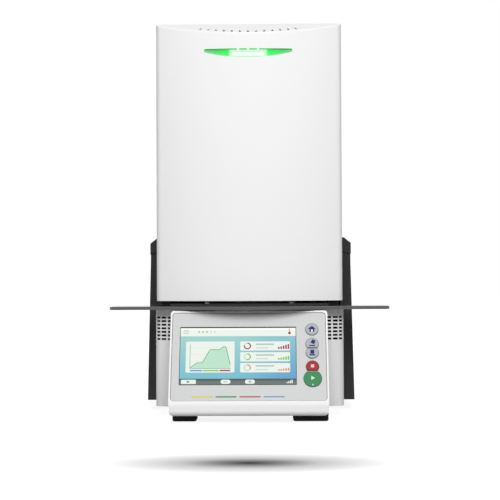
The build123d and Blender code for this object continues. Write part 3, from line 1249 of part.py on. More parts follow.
def fan_rotor():
    """Hub with pitched blades, running on the spindle."""
    y0 = PANEL_INSIDE_Y - FAN_DEPTH + 4
    rotor = rod_y(FAN_X, FAN_Z, y0, y0 + 17, ROTOR_HUB_R)
    for index in range(BLADES):
        blade = Pos((ROTOR_HUB_R + ROTOR_TIP_R) / 2 - 1, 0, 0) * Rot(42, 0, 0)
        blade = blade * Box(ROTOR_TIP_R - ROTOR_HUB_R, 19, 1.6)
        turned = Pos(FAN_X, y0 + 9, FAN_Z) * Rot(0, index * 360 / BLADES, 0) * blade
        rotor += turned
    return rotor - rod_y(FAN_X, FAN_Z, y0 - 1, y0 + 12, SPINDLE_R + RUNNING)


def fan_grille():
    """Wire guard of rings and spokes over the fan's hole."""
    y0 = PANEL_BACK_Y
    y1 = REAR_Y
    grille = Part()
    for radius in (12.0, 20.0, 28.0, FAN_BORE_R + 0.5):
        ring = rod_y(FAN_X, FAN_Z, y0, y1, radius + 0.9) - rod_y(FAN_X, FAN_Z, y0 - 1, y1 + 1, radius - 0.9)
        grille = grille + ring
    for turn in (45, 135):
        spoke = Pos(FAN_X, (y0 + y1) / 2, FAN_Z) * Rot(0, turn, 0) * Box(2 * FAN_BORE_R + 16, y1 - y0, 2.0)
        grille += spoke
    return grille - rod_y(FAN_X, FAN_Z, y0 - 1, y1 + 1, 4.0)


def socket_cut(x, z, width, height):
    """A rectangular cut-out of the rear panel."""
    return block(x - width / 2, x + width / 2, PANEL_INSIDE_Y - 1, PANEL_BACK_Y + 1, z - height / 2, z + height / 2)


def column_rear_panel():
    """Steel panel behind the column's rear opening, with every rear cut-out."""
    margin = 4.0
    panel = block(-REAR_OPENING_HALF - margin, REAR_OPENING_HALF + margin, PANEL_INSIDE_Y, PANEL_BACK_Y,
                  REAR_OPENING_Z0 - margin, REAR_OPENING_Z1 + margin)
    panel -= rod_y(FAN_X, FAN_Z, PANEL_INSIDE_Y - 1, PANEL_BACK_Y + 1, FAN_BORE_R)
    panel -= socket_cut(INLET_X, INLET_Z, 30.4, 24.4)
    panel -= socket_cut(INLET_X, ROCKER_Z, 27.4, 19.4)
    panel -= socket_cut(LAN_X, PORT_Z, 16.4, 14.4)
    panel -= socket_cut(USB_X, PORT_Z, 14.4, 7.4)
    for x in FUSE_X:
        panel -= rod_y(x, FUSE_Z, PANEL_INSIDE_Y - 1, PANEL_BACK_Y + 1, FUSE_R + 0.2)
    for index in range(9):
        x = -100 + index * 25.0
        slot = Pos(x, PANEL_BACK_Y + 2, 142) * Rot(90, 0, 0) * extrude(SlotOverall(18, 4), amount=6)
        panel -= slot
    return panel


def mains_inlet():
    """Appliance inlet: flange, shrouded cavity and three flat pins."""
    body = block(INLET_X - 15, INLET_X + 15, PANEL_BACK_Y - 26, PANEL_BACK_Y, INLET_Z - 12, INLET_Z + 12)
    body += block(INLET_X - 24, INLET_X + 24, PANEL_BACK_Y, FLANGE_Y, INLET_Z - 15, INLET_Z + 15)
    body -= block(INLET_X - 12, INLET_X + 12, FLANGE_Y - 18, FLANGE_Y + 1, INLET_Z - 8.5, INLET_Z + 8.5)
    for x, z in ((-7, -1), (7, -1), (0, 3.5)):
        body += block(INLET_X + x - 1, INLET_X + x + 1, FLANGE_Y - 19, FLANGE_Y - 5, INLET_Z + z - 2, INLET_Z + z + 2)
    return body


ROCKER_TILT = 10.0
ROCKER_PIVOT_Y = PANEL_BACK_Y - 3.0
ROCKER_R = 11.0


def power_switch_frame():
    """Frame of the mains switch with two pivot pegs inside."""
    y0 = PANEL_BACK_Y - 22
    frame = block(INLET_X - 13.5, INLET_X + 13.5, y0, PANEL_BACK_Y, ROCKER_Z - 9.5, ROCKER_Z + 9.5)
    frame += block(INLET_X - 16, INLET_X + 16, PANEL_BACK_Y, FLANGE_Y - 0.8, ROCKER_Z - 12, ROCKER_Z + 12)
    frame -= block(INLET_X - 11.5, INLET_X + 11.5, y0 + 3, FLANGE_Y, ROCKER_Z - 7.5, ROCKER_Z + 7.5)
    for sign in (-1, 1):
        frame += rod_x(ROCKER_PIVOT_Y, ROCKER_Z, INLET_X + sign * 12, INLET_X + sign * 10, 1.2)
    return frame


def power_rocker():
    """Rocker with two slanted pads, in its OFF place."""
    z_half = 7.0
    ridge = FLANGE_Y - 1.0
    outline = [(ROCKER_PIVOT_Y - 5, ROCKER_Z - z_half + 1.5), (ROCKER_PIVOT_Y - 5, ROCKER_Z + z_half - 1.5),
               (ridge, ROCKER_Z + z_half), (ridge - 1.3, ROCKER_Z), (ridge, ROCKER_Z - z_half)]
    rocker = side_profile(outline, INLET_X - 11.0, INLET_X + 11.0)
    rocker -= rod_x(ROCKER_PIVOT_Y, ROCKER_Z, INLET_X - 12, INLET_X + 12, 1.2 + RUNNING)
    pivot = (0, ROCKER_PIVOT_Y, ROCKER_Z)
    return rocker.rotate(Axis(pivot, (1, 0, 0)), -ROCKER_TILT / 2)


def fuse_holders():
    """Two screw-in fuse holders."""
    holders = []
    for x in FUSE_X:
        holder = rod_y(x, FUSE_Z, PANEL_BACK_Y - 24, PANEL_BACK_Y, FUSE_R)
        holder += rod_y(x, FUSE_Z, PANEL_BACK_Y, FLANGE_Y, FUSE_R + 1.5)
        holder -= block(x - 5, x + 5, FLANGE_Y - 0.8, FLANGE_Y + 1, FUSE_Z - 0.7, FUSE_Z + 0.7)
        holders.append(holder)
    return group(holders)


def data_port(x, width, height, tongue):
    """Metal-shelled socket with a plastic tongue."""
    port = block(x - width / 2, x + width / 2, PANEL_BACK_Y - 16, PANEL_BACK_Y + 0.6,
                 PORT_Z - height / 2, PORT_Z + height / 2)
    port -= block(x - width / 2 + 1, x + width / 2 - 1, PANEL_BACK_Y - 13, PANEL_BACK_Y + 1,
                  PORT_Z - height / 2 + 1, PORT_Z + height / 2 - 1)
    return port + block(x - width / 2 + 3, x + width / 2 - 3, PANEL_BACK_Y - 14, PANEL_BACK_Y - 4,
                        PORT_Z + tongue - 0.8, PORT_Z + tongue + 0.8)


def data_ports():
    """A network socket and a data socket side by side."""
    return group([data_port(LAN_X, 16.0, 14.0, 4.0), data_port(USB_X, 14.0, 7.0, 0.5)])


def pan_screw_y(x, z, y):
    """Domed screw head on a face that looks backwards."""
    head = rod_y(x, z, y, y + 2.0, 3.2)
    head = fillet(head.edges().group_by(Axis.Y)[-1], 0.9)
    slot = block(x - 0.5, x + 0.5, y + 1.2, y + 3, z - 2, z + 2)
    return head - slot - slot.rotate(Axis((x, y, z), (0, 1, 0)), 90)


def deck_screws():
    """Low screw heads that hold the deck and the tray down."""
    screws = []
    front_y = HEAD_FRONT_Y + 14
    rear_y = HEAD_REAR_Y - 61
    rear_x = DECK_HALF - 18
    for x, y in ((-SCREW_X, front_y), (SCREW_X, front_y), (-rear_x, rear_y), (rear_x, rear_y)):
        head = rod_z(x, y, DECK_TOP_Z, DECK_TOP_Z + 1.8, 3.5)
        head = chamfer(head.edges().group_by(Axis.Z)[-1], 0.6)
        head -= rod_z(x, y, DECK_TOP_Z + 0.8, DECK_TOP_Z + 2, 1.4)
        screws.append(head)
    return screws


def base_screws():
    """Screws of the column's rear panel and of the deck."""
    screws = deck_screws()
    side_x = REAR_OPENING_HALF - 10
    for x in (-side_x, 0.0, side_x):
        for z in (REAR_OPENING_Z0 + 7, REAR_OPENING_Z1 - 6):
            screws.append(pan_screw_y(x, z, PANEL_BACK_Y))
    return group(screws)


def head_screws():
    """Screws of the head's rear panel."""
    screws = []
    side_x = HEAD_HALF - 16.5
    for x in (-side_x, side_x):
        for z in (HEAD_BOTTOM_Z + 20, (HEAD_BOTTOM_Z + HEIGHT) / 2, HEIGHT - 26):
            screws.append(pan_screw_y(x, z, HEAD_REAR_Y))
    return group(screws)


# ---------------------------------------------------------------- export
def build_nodes():
    """Every sub-part under its node name."""
    plain = [
        head_shell, status_lens, status_led_board, head_rear_panel, head_screws, head_base_plate,
        chamber_seal, head_frame, hinge_brackets, hinge_shaft, hinge_caps, sector_gear, muffle_can,
        muffle_wall, muffle_roof, heating_elements, terminal_plate, element_clamps, thermocouple,
        power_relay, base_pan, lower_housing, column_housing, column_rear_panel, base_screws,
        hinge_plates, hinge_bushes, gear_motor, motor_bracket, drive_pinion, console_bezel,
        control_faceplate, display_glass, display_module, control_boards, cooling_tray, deck_plate,
        rest_pads, plinth_support, firing_plinth, firing_tray, transformer_core, transformer_coil,
        power_board, fan_frame, fan_rotor, fan_grille, mains_inlet, power_switch_frame,
        power_rocker, fuse_holders, data_ports, front_foot_right, rear_feet,
    ]
    nodes = {make.__name__: make() for make in plain}
    for name in KEYS:
        nodes[name] = panel_key(name)
    nodes["front_foot_left"] = front_foot(LEFT_FOOT_X)
    return nodes


def main():
    os.makedirs("parts", exist_ok=True)
    for name, shape in build_nodes().items():
        export_step(shape, f"parts/{name}.step")


main()
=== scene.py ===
import json
import math

import bmesh
import bpy
from mathutils import Matrix, Vector

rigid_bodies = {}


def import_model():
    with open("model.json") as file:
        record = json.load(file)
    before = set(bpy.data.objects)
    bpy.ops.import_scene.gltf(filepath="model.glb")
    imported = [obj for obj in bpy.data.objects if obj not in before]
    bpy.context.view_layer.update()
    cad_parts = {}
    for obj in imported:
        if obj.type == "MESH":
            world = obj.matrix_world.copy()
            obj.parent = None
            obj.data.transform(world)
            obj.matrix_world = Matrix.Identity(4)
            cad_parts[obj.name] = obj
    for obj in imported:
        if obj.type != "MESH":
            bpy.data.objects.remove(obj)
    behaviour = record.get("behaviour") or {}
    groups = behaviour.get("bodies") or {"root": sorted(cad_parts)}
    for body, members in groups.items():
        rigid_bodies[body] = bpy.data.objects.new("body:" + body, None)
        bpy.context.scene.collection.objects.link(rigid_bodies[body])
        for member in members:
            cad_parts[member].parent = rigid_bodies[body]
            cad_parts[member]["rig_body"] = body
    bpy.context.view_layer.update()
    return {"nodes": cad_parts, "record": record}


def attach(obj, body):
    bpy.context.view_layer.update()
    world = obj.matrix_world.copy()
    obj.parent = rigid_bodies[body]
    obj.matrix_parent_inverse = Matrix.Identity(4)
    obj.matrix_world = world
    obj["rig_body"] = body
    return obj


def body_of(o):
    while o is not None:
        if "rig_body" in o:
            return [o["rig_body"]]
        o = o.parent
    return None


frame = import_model()
NODES = frame["nodes"]
MM = 0.001


# ---------------------------------------------------------------- scene, camera and light

scene = bpy.context.scene
scene.view_settings.view_transform = "Standard"

# Angles in degrees. A pitch of 0 looks level, a yaw of 0 looks straight back.
CAMERA_PLACE = (0.033, -2.085, 0.184)
CAMERA_PITCH = 1.275
CAMERA_YAW = 0.93
CAMERA_ROLL = -0.24
FOCAL_PIXELS = 1438.0
IMAGE_PIXELS = 500.0
SENSOR = 36.0

camera_data = bpy.data.cameras.new("camera")
camera_data.sensor_fit = "HORIZONTAL"
camera_data.sensor_width = SENSOR
camera_data.lens = SENSOR * FOCAL_PIXELS / IMAGE_PIXELS
camera = bpy.data.objects.new("camera", camera_data)
scene.collection.objects.link(camera)
camera.matrix_world = (
    Matrix.Translation(CAMERA_PLACE)
    @ Matrix.Rotation(math.radians(CAMERA_YAW), 4, "Z")
    @ Matrix.Rotation(math.radians(90 + CAMERA_PITCH), 4, "X")
    @ Matrix.Rotation(math.radians(CAMERA_ROLL), 4, "Z")
)
scene.camera = camera

MIDDLE = (0, 0, 0.28)
# place, aim, width and height in metres, power in watts
LAMPS = {
    "key_front": ((0.12, -2.5, 1.6), MIDDLE, (1.1, 1.0), 60),
    "fill_top": ((0.1, -0.5, 2.4), (0, 0, 0.2), (1.6, 1.6), 3.5),
    "fill_left": ((-2.4, -0.6, 0.8), MIDDLE, (1.2, 1.4), 3.5),
    "fill_right": ((2.4, -0.6, 0.8), MIDDLE, (1.2, 1.4), 3),
    "fill_rear": ((0.0, 2.6, 1.6), MIDDLE, (1.8, 1.4), 22),
}


def area_light(name, place, aim, size, power):
    """A soft box at place, turned to aim."""
    data = bpy.data.lights.new(name, "AREA")
    data.shape = "RECTANGLE"
    data.size, data.size_y = size
    data.energy = power
    lamp = bpy.data.objects.new(name, data)
    scene.collection.objects.link(lamp)
    lamp.location = place
    lamp.rotation_euler = (Vector(aim) - Vector(place)).to_track_quat("-Z", "Y").to_euler()
    lamp.visible_glossy = False


for lamp_name, settings in LAMPS.items():
    area_light(lamp_name, *settings)


# ---------------------------------------------------------------- node helpers

class Nodes:
    """A node tree under construction, with short ways to add to it."""

    def __init__(self, tree):
        self.tree = tree
        self.tree.nodes.clear()

    def add(self, kind, **values):
        node = self.tree.nodes.new(kind)
        for key, value in values.items():
            setattr(node, key, value)
        return node

    def link(self, a, b):
        self.tree.links.new(a, b)

    def put(self, socket, value):
        """Links an output to the socket, or sets a plain value on it."""
        if isinstance(value, bpy.types.NodeSocket):
            self.link(value, socket)
        else:
            socket.default_value = value

    def math(self, operation, *values):
        node = self.add("ShaderNodeMath", operation=operation)
        for socket, value in zip(node.inputs, values):
            self.put(socket, value)
        return node.outputs[0]

    def reach(self, a, b):
        """Distance from the middle, for a and b measured square to each other."""
        return self.math("SQRT", self.math("ADD", self.math("MULTIPLY", a, a), self.math("MULTIPLY", b, b)))

    def span(self, value, a, b, low=0.0, high=1.0, smooth=False):
        """value between a and b, carried to the span from low to high."""
        node = self.add("ShaderNodeMapRange", interpolation_type="SMOOTHSTEP" if smooth else "LINEAR")
        for key, v in (("Value", value), ("From Min", a), ("From Max", b), ("To Min", low), ("To Max", high)):
            self.put(node.inputs[key], v)
        return node.outputs[0]

    def mix(self, share, a, b):
        """Colour a where share is 0, colour b where it is 1."""
        node = self.add("ShaderNodeMix", data_type="RGBA")
        self.put(node.inputs["Factor"], share)
        for socket, value in ((node.inputs[6], a), (node.inputs[7], b)):
            self.put(socket, value if isinstance(value, bpy.types.NodeSocket) else (*value, 1.0))
        return node.outputs[2]

    def seen(self, ray):
        """1 for the rays that show a surface itself: camera, glossy and transmission."""
        direct = self.math("MAXIMUM", ray["Is Camera Ray"], ray["Is Glossy Ray"])
        return self.math("MAXIMUM", direct, ray["Is Transmission Ray"])


class Shader(Nodes):
    """A material under construction, around one Principled shader."""

    def __init__(self, name):
        self.material = bpy.data.materials.new(name)
        self.material.use_nodes = True
        super().__init__(self.material.node_tree)
        self.bsdf = self.add("ShaderNodeBsdfPrincipled")
        self.link(self.bsdf.outputs[0], self.add("ShaderNodeOutputMaterial").inputs["Surface"])
        self._place = None

    def set(self, **values):
        """Values of the shader's own sockets, with _ for a space."""
        for key, value in values.items():
            self.put(self.bsdf.inputs[key.replace("_", " ")], value)

    def face_colour(self):
        """The colour that the shader has so far, to mix with."""
        return self.bsdf.inputs["Base Color"].links[0].from_socket

    def place(self):
        """Position in the piece's own coordinates, in metres."""
        if self._place is None:
            self._place = self.add("ShaderNodeTexCoord").outputs["Object"]
        return self._place

    def axis(self, name):
        node = self.add("ShaderNodeSeparateXYZ")
        self.link(self.place(), node.inputs[0])
        return node.outputs[name]

    def scaled(self, factors):
        node = self.add("ShaderNodeMapping")
        self.link(self.place(), node.inputs["Vector"])
        node.inputs["Scale"].default_value = factors
        return node.outputs[0]

    def noise(self, size, detail=3.0, roughness=0.5, stretch=None):
        """Noise from 0 to 1, with features of that size in metres."""
        node = self.add("ShaderNodeTexNoise")
        self.link(self.scaled(stretch) if stretch else self.place(), node.inputs["Vector"])
        node.inputs["Scale"].default_value = 1.0 / size
        node.inputs["Detail"].default_value = detail
        node.inputs["Roughness"].default_value = roughness
        return node.outputs["Fac"]

    def bump(self, height, depth):
        """A relief of that depth in metres."""
        node = self.add("ShaderNodeBump")
        node.inputs["Strength"].default_value = 1.0
        node.inputs["Distance"].default_value = depth
        self.link(height, node.inputs["Height"])
        self.link(node.outputs[0], self.bsdf.inputs["Normal"])


def shade(colour, factor):
    return tuple(min(1.0, c * factor) for c in colour)


PATCH_ROUGHNESS = 0.6
# The size of a surface's uneven gloss, as a share of the size of its uneven tone.
GLOSS_SHARE = 0.4
# Most of a noise lies between these, so each pair carries it to nearly the whole of a span.
COARSE_NOISE = (0.25, 0.75)
FINE_NOISE = (0.3, 0.7)


def surface(name, colour, rough, metal=0.0, level=0.5, vary=0.04, patch=0.05,
            grain=None, grain_depth=0.0, rough_vary=0.05, coat=0.0, coat_rough=0.1, brushed=None):
    """A painted, moulded or metal surface: uneven tone, uneven gloss and a fine relief.

    patch is the size of the uneven tone, grain the size of the relief, both in metres.
    brushed stretches the grain along an axis, as a scale for each axis.
    """
    s = Shader(name)
    tone = s.noise(patch, 4.0, PATCH_ROUGHNESS)
    gloss = s.noise(patch * GLOSS_SHARE, 3.0, PATCH_ROUGHNESS)
    s.set(
        Base_Color=s.mix(tone, shade(colour, 1 - vary), shade(colour, 1 + vary)),
        Roughness=s.span(gloss, *COARSE_NOISE, rough - rough_vary, rough + rough_vary),
        Metallic=metal,
        Specular_IOR_Level=level,
        Coat_Weight=coat,
        Coat_Roughness=coat_rough,
    )
    if grain:
        s.bump(s.noise(grain, 3.0, PATCH_ROUGHNESS, brushed), grain_depth)
    return s


# ---------------------------------------------------------------- materials

SURFACES = {
    "white_paint": dict(colour=(0.865, 0.865, 0.865), rough=0.5, level=0.15, vary=0.006, patch=0.12,
                        grain=0.0014, grain_depth=0.00002),
    "pale_grey_paint": dict(colour=(0.76, 0.765, 0.76), rough=0.5, level=0.25, vary=0.012, patch=0.08,
                            grain=0.0009, grain_depth=0.00003),
    "white_plastic": dict(colour=(0.87, 0.87, 0.872), rough=0.4, level=0.3, vary=0.008, patch=0.06,
                          grain=0.0005, grain_depth=0.00002),
    "black_plastic": dict(colour=(0.024, 0.024, 0.025), rough=0.52, level=0.3, vary=0.15, patch=0.04,
                          grain=0.0007, grain_depth=0.00006),
    "black_sheet": dict(colour=(0.028, 0.028, 0.029), rough=0.5, level=0.35, vary=0.12, patch=0.05,
                        grain=0.0009, grain_depth=0.00005),
    "dark_tray": dict(colour=(0.060, 0.060, 0.057), rough=0.42, metal=0.3, vary=0.14, patch=0.03,
                      grain=0.0008, grain_depth=0.00004, coat=0.9, coat_rough=0.1),
    "silver_film": dict(colour=(0.64, 0.645, 0.645), rough=0.31, metal=0.55, vary=0.012, patch=0.07,
                        grain=0.0003, grain_depth=0.00001, rough_vary=0.04),
    "rubber": dict(colour=(0.007, 0.007, 0.008), rough=0.7, level=0.2, vary=0.25, patch=0.012,
                   grain=0.0006, grain_depth=0.00008),
    "steel": dict(colour=(0.55, 0.55, 0.54), rough=0.3, metal=1.0, vary=0.06, patch=0.02,
                  grain=0.0006, grain_depth=0.00002, brushed=(1, 8, 8)),
    "zinc_steel": dict(colour=(0.60, 0.60, 0.57), rough=0.38, metal=1.0, vary=0.12, patch=0.012,
                       grain=0.002, grain_depth=0.00003),
    "bronze": dict(colour=(0.45, 0.28, 0.12), rough=0.35, metal=1.0, vary=0.1, patch=0.006,
                   grain=0.0004, grain_depth=0.00002),
    "fibre": dict(colour=(0.83, 0.79, 0.70), rough=0.9, level=0.1, vary=0.06, patch=0.015,
                  grain=0.0018, grain_depth=0.0004),
    "ceramic": dict(colour=(0.80, 0.77, 0.70), rough=0.6, level=0.3, vary=0.05, patch=0.02,
                    grain=0.0007, grain_depth=0.0001),
    "element": dict(colour=(0.20, 0.17, 0.15), rough=0.5, metal=0.6, vary=0.25, patch=0.006,
                    grain=0.0008, grain_depth=0.0001),
    "aluminium": dict(colour=(0.70, 0.70, 0.71), rough=0.35, metal=1.0, vary=0.05, patch=0.02,
                      grain=0.0005, grain_depth=0.00002, brushed=(6, 1, 6)),
    "board_green": dict(colour=(0.02, 0.16, 0.07), rough=0.35, vary=0.15, patch=0.006,
                        grain=0.0012, grain_depth=0.00006),
    "socket_black": dict(colour=(0.018, 0.018, 0.019), rough=0.36, level=0.4, vary=0.12, patch=0.01,
                         grain=0.0006, grain_depth=0.00003),
    "port_steel": dict(colour=(0.72, 0.72, 0.72), rough=0.25, metal=1.0, vary=0.05, patch=0.006,
                       grain=0.0005, grain_depth=0.00001),
    "copper": dict(colour=(0.62, 0.26, 0.12), rough=0.35, metal=1.0, vary=0.1, patch=0.006,
                   grain=0.0006, grain_depth=0.0001, brushed=(1, 6, 1)),
    "core_steel": dict(colour=(0.16, 0.16, 0.17), rough=0.5, metal=0.8, vary=0.15, patch=0.01,
                       grain=0.0005, grain_depth=0.0001, brushed=(12, 1, 1)),
    # Bonded front glass, black from behind. The picture lies just in front of it.
    "display_glass": dict(colour=(0.012, 0.014, 0.016), rough=0.06, level=0.5, vary=0.2, patch=0.02,
                          rough_vary=0.02),
}
MATERIALS = {name: surface(name, **look) for name, look in SURFACES.items()}

# The control panel leans back from the vertical. u runs to the right, v up the panel and w out of it, in mm.
PANEL_ORIGIN = Vector((0.0, -0.209, 0.0295))
PANEL_LEAN = math.radians(27.0)
PANEL_UP = Vector((0.0, math.sin(PANEL_LEAN), math.cos(PANEL_LEAN)))
PANEL_OUT = Vector((0.0, -math.cos(PANEL_LEAN), math.sin(PANEL_LEAN)))

# The keys, in mm: place up the panel, diameter, the split that a key's flat side faces (None for a round
# rim) and the side of the split that it lies on.
KEY_U = 83.9
KEY_D = 17.4
KEYS = {
    "key_home": (101.9, KEY_D, None, 0),
    "key_head_open": (80.6, KEY_D, 74.4, 1),
    "key_head_close": (68.2, KEY_D, 74.4, -1),
    "key_stop": (47.8, KEY_D, 41.5, 1),
    "key_start": (31.0, 24.3, None, 0),
}
SPLIT_HALF = 0.5
KEY_CROWN = 1.2
KEY_ROUGH = 0.38
# The face and the printed rim of each kind of key.
KEY_COLOURS = {
    "key_grey": ((0.43, 0.44, 0.46), (0.13, 0.14, 0.20)),
    "key_red": ((0.34, 0.03, 0.032), (0.14, 0.012, 0.014)),
    "key_green": ((0.05, 0.235, 0.10), (0.015, 0.10, 0.04)),
}
# The rim's print fades out between these distances from the key's edge, in metres.
RIM_FADE = (0.00045, 0.00085)


def panel_point(u, v, w):
    return PANEL_ORIGIN + MM * (Vector((u, 0, 0)) + v * PANEL_UP + w * PANEL_OUT)


def key_material(key, slot_name):
    """Moulded key with a darker line printed round its rim."""
    colour, rim_colour = KEY_COLOURS[slot_name]
    v, diameter, split, side = KEYS[key]
    s = surface(key, colour, KEY_ROUGH, level=0.4, vary=0.03, patch=0.01, grain=0.0004, grain_depth=0.00001)
    centre = panel_point(KEY_U, v, 0)
    across = s.math("SUBTRACT", s.axis("X"), centre.x)
    rise = s.math("ADD", s.math("MULTIPLY", s.math("SUBTRACT", s.axis("Y"), centre.y), PANEL_UP.y),
                  s.math("MULTIPLY", s.math("SUBTRACT", s.axis("Z"), centre.z), PANEL_UP.z))
    edge = s.math("SUBTRACT", diameter / 2 * MM, s.reach(across, rise))
    if side:
        flat = (split + side * SPLIT_HALF - v) * MM
        edge = s.math("MINIMUM", edge, s.math("ABSOLUTE", s.math("SUBTRACT", rise, flat)))
    s.set(Base_Color=s.mix(s.span(edge, *RIM_FADE, 1.0, 0.0, smooth=True), s.face_colour(), rim_colour))
    return s


# The status light, in metres. Pairs are where a change starts and ends: on x from the light's middle, on z
# above the ground, BAR_CORE_FADE from the white core's line, DIODE_FADE on the wave that spaces the diodes.
BAR_GLOW = 0.9
BAR_GREENS = (0.026, 0.050)
BAR_PALE_END = (0.0225, 0.028)
BAR_CORE_HALF = 0.0198
BAR_CORE_Z = 0.4927
BAR_CORE_FADE = (0.0022, 0.0036)
BAR_LIP_Z = (0.4888, 0.4902)
# The ceiling's glow is painted shade of the recess under the shell: dim, and darker still towards the ends.
BAR_CEILING_Z = (0.4988, 0.4990)
BAR_CEILING_SHADE_FADE = (0.02, 0.05)
DIODE_HALF_PITCH = 0.00675
DIODE_FADE = (0.0046, 0.0062)
DIODE_ROW_END = (0.019, 0.021)
# An odd number of half pitches: it keeps the wave's input above 0 and puts a diode in the middle.
DIODE_SHIFT = 21


def light_bar_material():
    """The status light: white-hot in the middle, green towards its ends, a ceiling painted dark as the
    recess's shade, with bright diodes.
    """
    near_green, far_green, pale = (0.03, 0.74, 0.09), (0.09, 0.50, 0.13), (0.64, 0.95, 0.68)
    hot, lip = (0.97, 1.0, 0.97), (0.40, 0.82, 0.46)
    shaded_ceiling_near, shaded_ceiling_far, diode = (0.10, 0.42, 0.14), (0.010, 0.075, 0.018), (0.9, 1.0, 0.9)
    s = Shader("light_bar")
    x = s.math("ABSOLUTE", s.axis("X"))
    z = s.axis("Z")
    body = s.mix(s.span(x, *BAR_PALE_END, smooth=True), pale,
                 s.mix(s.span(x, *BAR_GREENS, smooth=True), near_green, far_green))
    beyond = s.math("MAXIMUM", s.math("SUBTRACT", x, BAR_CORE_HALF), 0.0)
    core = s.reach(beyond, s.math("SUBTRACT", z, BAR_CORE_Z))
    body = s.mix(s.span(core, *BAR_CORE_FADE, 1.0, 0.0, smooth=True), body, hot)
    body = s.mix(s.span(z, *BAR_LIP_Z, 0.95, 0.0, smooth=True), body, lip)
    shifted = s.math("ADD", s.axis("X"), DIODE_HALF_PITCH * DIODE_SHIFT)
    wave = s.math("ABSOLUTE", s.math("PINGPONG", shifted, DIODE_HALF_PITCH))
    lit = s.math("MULTIPLY", s.span(wave, *DIODE_FADE), s.span(x, *DIODE_ROW_END, 1.0, 0.0))
    # Painted shade on the ceiling, broken by the bright diodes.
    ceiling_shade = s.mix(lit, s.mix(s.span(x, *BAR_CEILING_SHADE_FADE), shaded_ceiling_near, shaded_ceiling_far), diode)
    s.set(
        Base_Color=(0.03, 0.25, 0.06, 1.0),
        Roughness=s.span(s.noise(0.004), *FINE_NOISE, 0.2, 0.3),
        Emission_Color=s.mix(s.span(z, *BAR_CEILING_Z), body, ceiling_shade),
        Emission_Strength=BAR_GLOW,
    )
    return s


# The deck's screws are those above DECK_Z and ahead of DECK_Y, each the start and end of a change in metres.
DECK_Z = (0.14, 0.145)
DECK_Y = (0.10, 0.12)
DECK_SCREW_DARK = (0.25, 0.25, 0.25)


def screw_material():
    """Bright zinc at the back, darker on the dark deck."""
    s = surface("screws", **SURFACES["zinc_steel"])
    on_deck = s.math("MULTIPLY", s.span(s.axis("Z"), *DECK_Z), s.span(s.axis("Y"), *DECK_Y, 1.0, 0.0))
    s.set(Base_Color=s.mix(on_deck, s.face_colour(), DECK_SCREW_DARK))
    return s


def node_material(name, slot_name):
    """The material of a CAD node: its own where it has one, else its slot's."""
    if name == "base_screws":
        return screw_material()
    if name in KEYS:
        return key_material(name, slot_name)
    if slot_name in KEY_COLOURS:
        return surface(name, KEY_COLOURS[slot_name][0], KEY_ROUGH, level=0.4, patch=0.01)
    return MATERIALS[slot_name]


MATERIALS["light_bar"] = light_bar_material()
for part in frame["record"]["subparts"]:
    shader = node_material(part["node"], part["material_slot"])
    node = NODES[part["node"]]
    if not node.material_slots:
        node.data.materials.append(None)
    for slot in node.material_slots:
        slot.link = "OBJECT"
        slot.material = shader.material


# ---------------------------------------------------------------- inks

SCREEN_GLOW = 0.93
SCREEN_LEVEL = 0.35
UNLIT = 0.06
INK_ROUGH_VARY = 0.04


def ink(name, colour, glow=0.0, rough=0.35, level=0.4, vary=0.02, patch=0.004):
    """Printed ink, or with glow the lit dots of the display."""
    s = Shader(name)
    tint = s.mix(s.noise(patch, 3.0, PATCH_ROUGHNESS), shade(colour, 1 - vary), shade(colour, 1 + vary))
    if glow:
        s.set(Base_Color=(*shade(colour, UNLIT), 1.0), Emission_Color=tint, Emission_Strength=glow)
    else:
        s.set(Base_Color=tint)
    gloss = s.span(s.noise(patch * 2), *FINE_NOISE, rough - INK_ROUGH_VARY, rough + INK_ROUGH_VARY)
    s.set(Roughness=gloss, Specular_IOR_Level=level)
    return s


def screen_ink(name, colour):
    return ink(name, colour, glow=SCREEN_GLOW, rough=0.12, level=SCREEN_LEVEL, patch=0.002)


# The picture's edges on x and z, in metres.
WASH_X = (-0.0915, 0.0625)
WASH_Z = (0.049, 0.124)


def screen_wash():
    """The picture's ground: teal at the top left to blue at the bottom right, with soft bands."""
    s = Shader("screen_wash")
    v = s.span(s.axis("Z"), *WASH_Z)
    teal = s.mix(v, (0.16, 0.49, 0.64), (0.41, 0.70, 0.61))
    blue = s.mix(v, (0.10, 0.32, 0.60), (0.28, 0.60, 0.62))
    bands = s.math("ADD", s.span(s.axis("X"), *WASH_X), s.math("MULTIPLY", s.noise(0.035, 1.0), 0.25))
    s.set(
        Base_Color=(0.01, 0.03, 0.04, 1.0),
        Emission_Color=s.mix(s.span(bands, 0.45, 1.2, smooth=True), teal, blue),
        Emission_Strength=SCREEN_GLOW,
        Roughness=s.span(s.noise(0.01), *FINE_NOISE, 0.10, 0.16),
        Specular_IOR_Level=SCREEN_LEVEL,
    )
    return s


